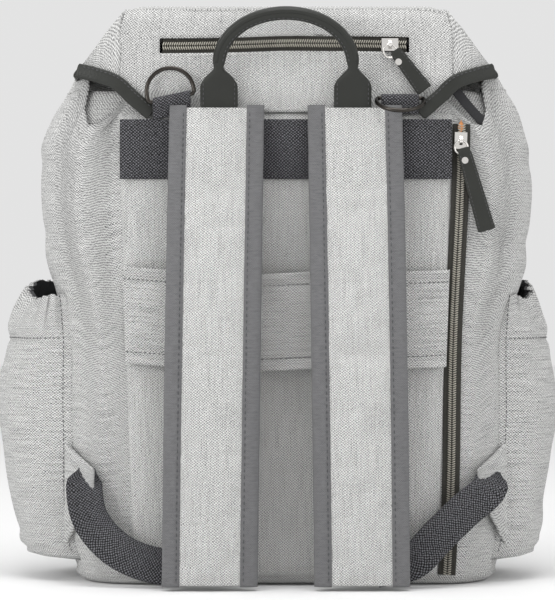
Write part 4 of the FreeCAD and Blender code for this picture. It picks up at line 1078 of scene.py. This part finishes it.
# %% Hood's leather rim
outline = np.concatenate([roof[:, -1], drop[::-1, 0], drop[0], drop[:, -1], roof[::-1, 0]])
reach = np.concatenate([[0], np.cumsum(np.linalg.norm(np.diff(outline, axis=0), axis=1))])
even = np.linspace(2, reach[-1] - 2, 260)
rim_path = points(*(np.interp(even, reach, outline[:, k]) for k in range(3)))
for k in range(3):
    rim_path[4:-4, k] = np.convolve(rim_path[:, k], np.ones(5) / 5, mode="same")[4:-4]
sideways = np.sign(rim_path[:, :1]) * [0.75, 0, 0] + [0, 0, 0.65]
away = np.where(rim_path[:, 1:2] < FRONT, sideways, FORWARD)
add_sweeps("hood_edge", [sweep(rim_path, away, 5.0, 2.0, columns=14, square=3)], LEATHER, blend=hood_blend)
print("rim length", reach[-1].round())

# %% [markdown]
# ## Zips
#
# A zip is two strips of woven tape, each with a coil of slanted loops on its edge. The coil loops are the
# rounded bars again, leaning one way on the left and the other way on the right. Sliders, rings and rivets
# are the CAD parts in plated metal. Each pull is a sweep of leather that widens towards its end.

# %% Zip helpers


def make_zip(name, path, out, body, nodes):
    """Tape and coil along a path. out faces the viewer of the zip."""
    tape = ribbon(path, out, 6.3)
    tape = turned(tape, normals_of(tape).mean((0, 1)) @ np.asarray(out, float) < 0)
    share = np.linspace(-1, 1, 13)[None]
    tape = push(tape, 0.5 * bump(np.abs(share), 0.93, 0.1) - 0.3 * bump(share, 0, 0.3))
    add_cloth(f"{name}_tape_cloth", tape, TAPE, body, stands_for=nodes[0], wall=0.8)
    spots, share = evenly(path, 1.65)
    pick = nearest_on(path, share)
    along, outward, across = (vectors[pick] for vectors in frames_along(path, out))
    teeth = []
    for side in (-1, 1):
        slant = across * side * math.cos(0.42) + along * math.sin(0.42)
        teeth.append(bars(spots + across * side * 1.55 + outward, slant, outward, 3.3, 0.5, height=0.75))
    mesh = bars_mesh(f"{name}_teeth", np.concatenate(teeth))
    add_piece(f"{name}_teeth", mesh, COIL_WITH_PAINTED_SHEEN, body, stands_for=nodes[1])


def make_pull(name, node, pivot, swing, length, wide, body, facing=-1):
    """A leather pull that hangs from its pivot, turned by swing, and grows wider downwards."""
    low, high = node_box(node)
    swing = math.radians(swing)
    t = np.linspace(0, 1, 30)
    far = 6.0 + length * t
    path = points(pivot[0] + far * math.sin(swing), (low[1] + high[1]) / 2, pivot[1] - far * math.cos(swing))
    width = wide[0] + (wide[1] - wide[0]) * t - 1.6 * bump(t, 0, 0.05)
    pull = sweep(path, (0, facing, 0), width / 2, 1.15, columns=20, square=5, cap=0.6)
    add_sweeps(name, [pull], LEATHER, body, stands_for=node)
    _, _, across = frames_along(path, (0, facing, 0))
    inset = across * (width[:, None] / 2 - 1.5)
    lines = [(path + inset * side + [0, facing * 1.15, 0])[2:-1] for side in (-1, 1)]
    add_stitches(f"{name}_stitches", lines, (0, facing, 0), body, step=2.8, length=1.8, radius=0.22)


# %% The three zips
FRONT_ZIP = 176
BACK_SLIDER, LID_SLIDER, FRONT_SLIDER = (126.2, 320.9), (75, LID_ZIP), (-76, FRONT_ZIP)
t = np.linspace(0, 1, 140)[:, None]
back_path = np.array([116.2, REAR - 1.3, 7.5]) + t * np.array([10.4, 0, 325.5])
back_path[:, 0] += 0.8 * np.sin(t[:, 0] * 9)
x = np.linspace(-89, 87, 120)
lid_path = points(x, REAR - 2.9, LID_ZIP + lid_zip_wave(x))
front_path = points(-x, node_box("front_pocket")[1][1] - 2.4, FRONT_ZIP)
ZIPS = (("back", back_path, REARWARD), ("lid", lid_path, REARWARD), ("front", front_path, FORWARD))
for name, path, out in ZIPS:
    make_zip(name, path, out, "bag", (f"{name}_zip_tape", f"{name}_zip_coil"))
make_pull("back_pull_leather", "back_pull", BACK_SLIDER, 16, 61, (10, 13), "back_puller")
make_pull("lid_pull_leather", "lid_pull", LID_SLIDER, 37, 35, (9, 12), "lid_puller")
front_low, front_high = node_box("front_pull")
make_pull("front_pull_leather", "front_pull", FRONT_SLIDER, 0, front_high[2] - front_low[2],
          (9, 11), "front_puller", facing=1)
t = np.linspace(0, 1, 16)
oval_path = points(BACK_SLIDER[0] + 0.3 * t, REAR - 1.9, 327 + 8 * t)
oval = sweep(oval_path, REARWARD, 0.4 + 1.9 * np.sin(t * math.pi), 0.5, columns=12, square=2)
add_sweeps("zip_end_lining", [oval], COPPER, "bag")
print("zips", [name for name, _, _ in ZIPS])

# %% [markdown]
# ## Side pockets
#
# Each side pocket bellies out between two upright seams. Elastic in its rim gathers the cloth, so folds fan
# out from the stitched casing and the rim itself is ruffled. The front part of the rim stands higher.

# %% Pocket shape
POCKETS = {
    "left": (-1, (16, 17, 21, 37, 63, 101, 123, 153, 180, 196, 209),
             (160, 181, 192, 200, 207, 212, 213.5, 212, 206, 202, 193)),
    "right": (1, (16, 17, 21, 33, 56, 93, 128, 150, 178, 196, 209),
              (160, 176, 185, 191, 195, 200, 203, 200, 197, 192, 184)),
}
for word, (side, heights, reaches) in POCKETS.items():
    level = np.concatenate([[16, 16.6, 17.4, 19, 22], np.linspace(26, 209, 84)])[:, None]
    angle = np.linspace(0, math.pi, 110)[None]
    edge = np.sin(angle)
    rim_rise = 1 + 11 * smoothstep(1.1, 2.2, angle) - 3 * bump(angle, 0.7, 0.3)
    root = half_width_at(level) - 9.0
    gather = smoothstep(168, 209, level)
    fan = np.sin(angle * 26 + 1.7 * np.sin(angle * 5 + side)) * gather * 2.2
    casing = -1.6 * bump(level, 177, 2.6) + 1.4 * bump(level, 186, 5)
    belly = creases(angle * 55, level, 75) * 1.2 + 1.6 * bump(level, 150 + 9 * np.sin(angle * 7), 8)
    out = (curve_through(heights, reaches, level) - root) * edge**0.8
    px = root + out + (fan + casing + belly * smoothstep(20, 60, level)) * edge
    py = MIDDLE - 54 * np.cos(angle) + 0.6 * fan * np.cos(angle)
    pz = level + gather**2 * rim_rise + 0.8 * np.sin(angle * 31) * gather**2
    pocket = turned(points(side * px, py, pz), side < 0)
    inner = turned(points(side * (px - 2.4 * edge - 0.4), py + 2.2 * np.cos(angle), pz)[50:], side > 0)
    add_cloth(f"pocket_cloth_{word}", pocket, CLOTH, "bag", wall=1.3,
              stands_for=(f"side_pocket_{word}", f"pocket_elastic_{word}"))
    add_cloth(f"pocket_lining_{word}", inner, POCKET_LINING, "bag")
    above = pocket + [side * 0.25, 0, 0] + 0.35 * normals_of(pocket)
    seams = stitches([above[4:, 3], above[4:, -4]], REARWARD)
    casing_row = stitches([above[74, 4:-4]], (side, -0.4, 0))
    thread = bars_mesh(f"pocket_stitches_{word}", np.concatenate([seams, casing_row]))
    add_piece(f"pocket_stitches_{word}", thread, THREAD, "bag")
    print("pocket", word, "reaches", np.abs(pocket[..., 0]).max().round(1))
tab_path = np.linspace([154.0, MIDDLE - 56.5, 192], [154.5, MIDDLE - 57.0, 207], 12)
add_sweeps("pocket_tab_right", [sweep(tab_path, REARWARD, 1.6, 0.5, columns=12)], COPPER, "bag")

# %% [markdown]
# ## Front pocket and closure
#
# The front has a flat pocket with a zip, and a leather strap from the lid that snaps shut over it. Nobody
# sees them from the straps' side, so they follow the CAD model closely.

# %% Front pocket
TRAY_HALF, SLOT_HALF = 116, 93
column_counts, row_counts = (22, 61, 22), (70, 5, 22)
slot_edge = SLOT_HALF / TRAY_HALF
u, z = np.meshgrid(steps_between((-1, -slot_edge, slot_edge, 1), column_counts),
                   steps_between((22, 170.5, 181.5, 208), row_counts))
v = (z - 115) / 93
lift = np.clip(1 - np.abs(u) ** 9, 0, 1) ** 0.28 * np.clip(1 - np.abs(v) ** 9, 0, 1) ** 0.28
tray = points(-u * TRAY_HALF, FRONT - 1 + 31 * lift + creases(u * TRAY_HALF, z, 70) * 0.5 * lift, z)
add_cloth("front_pocket_cloth", tray, CLOTH, "bag", keep=~slot_mask(row_counts, column_counts), wall=1.4,
          stands_for="front_pocket")
slot_lines = [points(np.linspace(-91, 91, 60), FRONT + 30.3, level) for level in (168, 184)]
add_stitches("front_stitches", slot_lines, FORWARD, "bag", thread=PALE_THREAD, length=2.2, radius=0.28)
print("front pocket depth", (tray[..., 1].max() - FRONT).round(1))

# %% Closing strap
close_low, close_high = node_box("closure_strap")
t = np.linspace(0, 1, 40)
close_path = points(0, (close_low[1] + close_high[1]) / 2, close_high[2] + t * (close_low[2] - close_high[2]))
close_half = 17 - 7 * smoothstep(0.86, 1.0, t) ** 2
closing_strap = sweep(close_path, FORWARD, close_half, 1.1, columns=24, square=6)
add_sweeps("closure_leather", [closing_strap], LEATHER, "closer", stands_for="closure_strap")
lines = [close_path[1:-4] + [edge * 14, 1.1, 0] for edge in (-1, 1)]
add_stitches("closure_stitches", lines, FORWARD, "closer", length=2.4)
print("closing strap length", (close_high[2] - close_low[2]).round(1))

# %% [markdown]
# ## The CAD parts that stay
#
# Metal and moulded parts keep their CAD meshes, so their fit is exact. Each takes the finish of its slot.

# %% Finishes for CAD nodes
FINISHES = (CLOTH, BINDING, WEBBING, LEATHER, TAPE, COIL_WITH_PAINTED_SHEEN, NICKEL, GUNMETAL, COPPER, FACING, FOAM, BLACK)
BY_SLOT = {slot: material for material, slot in FINISHES}
BY_SLOT["elastic"] = FACING[0]
BY_SLOT["stiff_board"] = FOAM[0]
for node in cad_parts.values():
    for place in node.material_slots:
        place.material = BY_SLOT.get(place.material.name.split(".")[0], place.material)
shown = sorted(name for name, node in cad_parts.items() if not node.hide_render)
print("CAD parts that show:", ", ".join(shown))

# %% [markdown]
# ## Floor, light and camera
#
# The floor is one pale sheet in a bright, even room. A large soft light stands on each side of the camera,
# and a third hangs above. The camera is level, at half the bag's height, far away with a long lens.

# %% Floor
FLOOR_REACH, FLOOR_DROP = 6000, 0.2
u, v = np.meshgrid(*[np.linspace(-FLOOR_REACH, FLOOR_REACH, 5)] * 2)
floor_material, nodes, shader = new_material("pale_floor", 0.9)
place = nodes.add("ShaderNodeTexCoord").outputs["Object"]
drift = nodes.add("ShaderNodeTexNoise", {"Vector": place, "Scale": 3.0}).outputs[0]
nodes.link(nodes.mix(drift, (0.86, 0.86, 0.86, 1), (0.89, 0.89, 0.89, 1)), shader.inputs["Base Color"])
floor = bpy.data.objects.new("floor", mesh_of("floor", points(u, v, -FLOOR_DROP)))
floor.data.materials.append(floor_material)
bpy.context.scene.collection.objects.link(floor)
floor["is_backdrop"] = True
print("floor reaches", FLOOR_REACH)

# %% Lights and room
BAG_CENTRE = (0, 0, 0.2)


def add_light(name, place, size, power):
    """A square area light that faces the middle of the bag."""
    lamp = bpy.data.lights.new(name, "AREA")
    lamp.energy = power
    lamp.size = size
    light = bpy.data.objects.new(name, lamp)
    light.location = place
    x, y, z = np.array(BAG_CENTRE) - np.array(place)
    light.rotation_euler = (math.atan2(math.hypot(x, y), -z), 0, math.atan2(-x, y))
    bpy.context.scene.collection.objects.link(light)


add_light("left_soft", (-1.7, -1.5, 0.9), 1.0, 17)
add_light("right_soft", (1.7, -1.5, 0.9), 1.1, 7)
add_light("top_soft", (0, -0.5, 2.0), 1.0, 17)
ROOM_LIGHT = 0.77
world = bpy.data.worlds.new("soft_room")
world.use_nodes = True
world.node_tree.nodes["Background"].inputs["Color"].default_value = (1, 1, 1, 1)
world.node_tree.nodes["Background"].inputs["Strength"].default_value = ROOM_LIGHT
bpy.context.scene.world = world
print("lights", len(bpy.data.lights))

# %% Camera
CAMERA_SIDE, CAMERA_AWAY, CAMERA_LEVEL = -0.006, 1.8, 0.206
lens = bpy.data.cameras.new("camera")
lens.lens = 150
lens.sensor_width = 36
camera = bpy.data.objects.new("camera", lens)
camera.location = (CAMERA_SIDE, (REAR - 6) * MM - CAMERA_AWAY, CAMERA_LEVEL)
camera.rotation_euler = (math.pi / 2, 0, 0)
bpy.context.scene.collection.objects.link(camera)
bpy.context.scene.camera = camera
bpy.context.scene.view_settings.view_transform = "Standard"
print("camera at", [round(c, 3) for c in camera.location])

# %% [markdown]
# ## Size
#
# The last step measures the dressed bag's box and prints its size.

# %% Measure and finish
low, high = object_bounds()
print("visual size", [round((b - a) / MM, 1) for a, b in zip(low, high)])
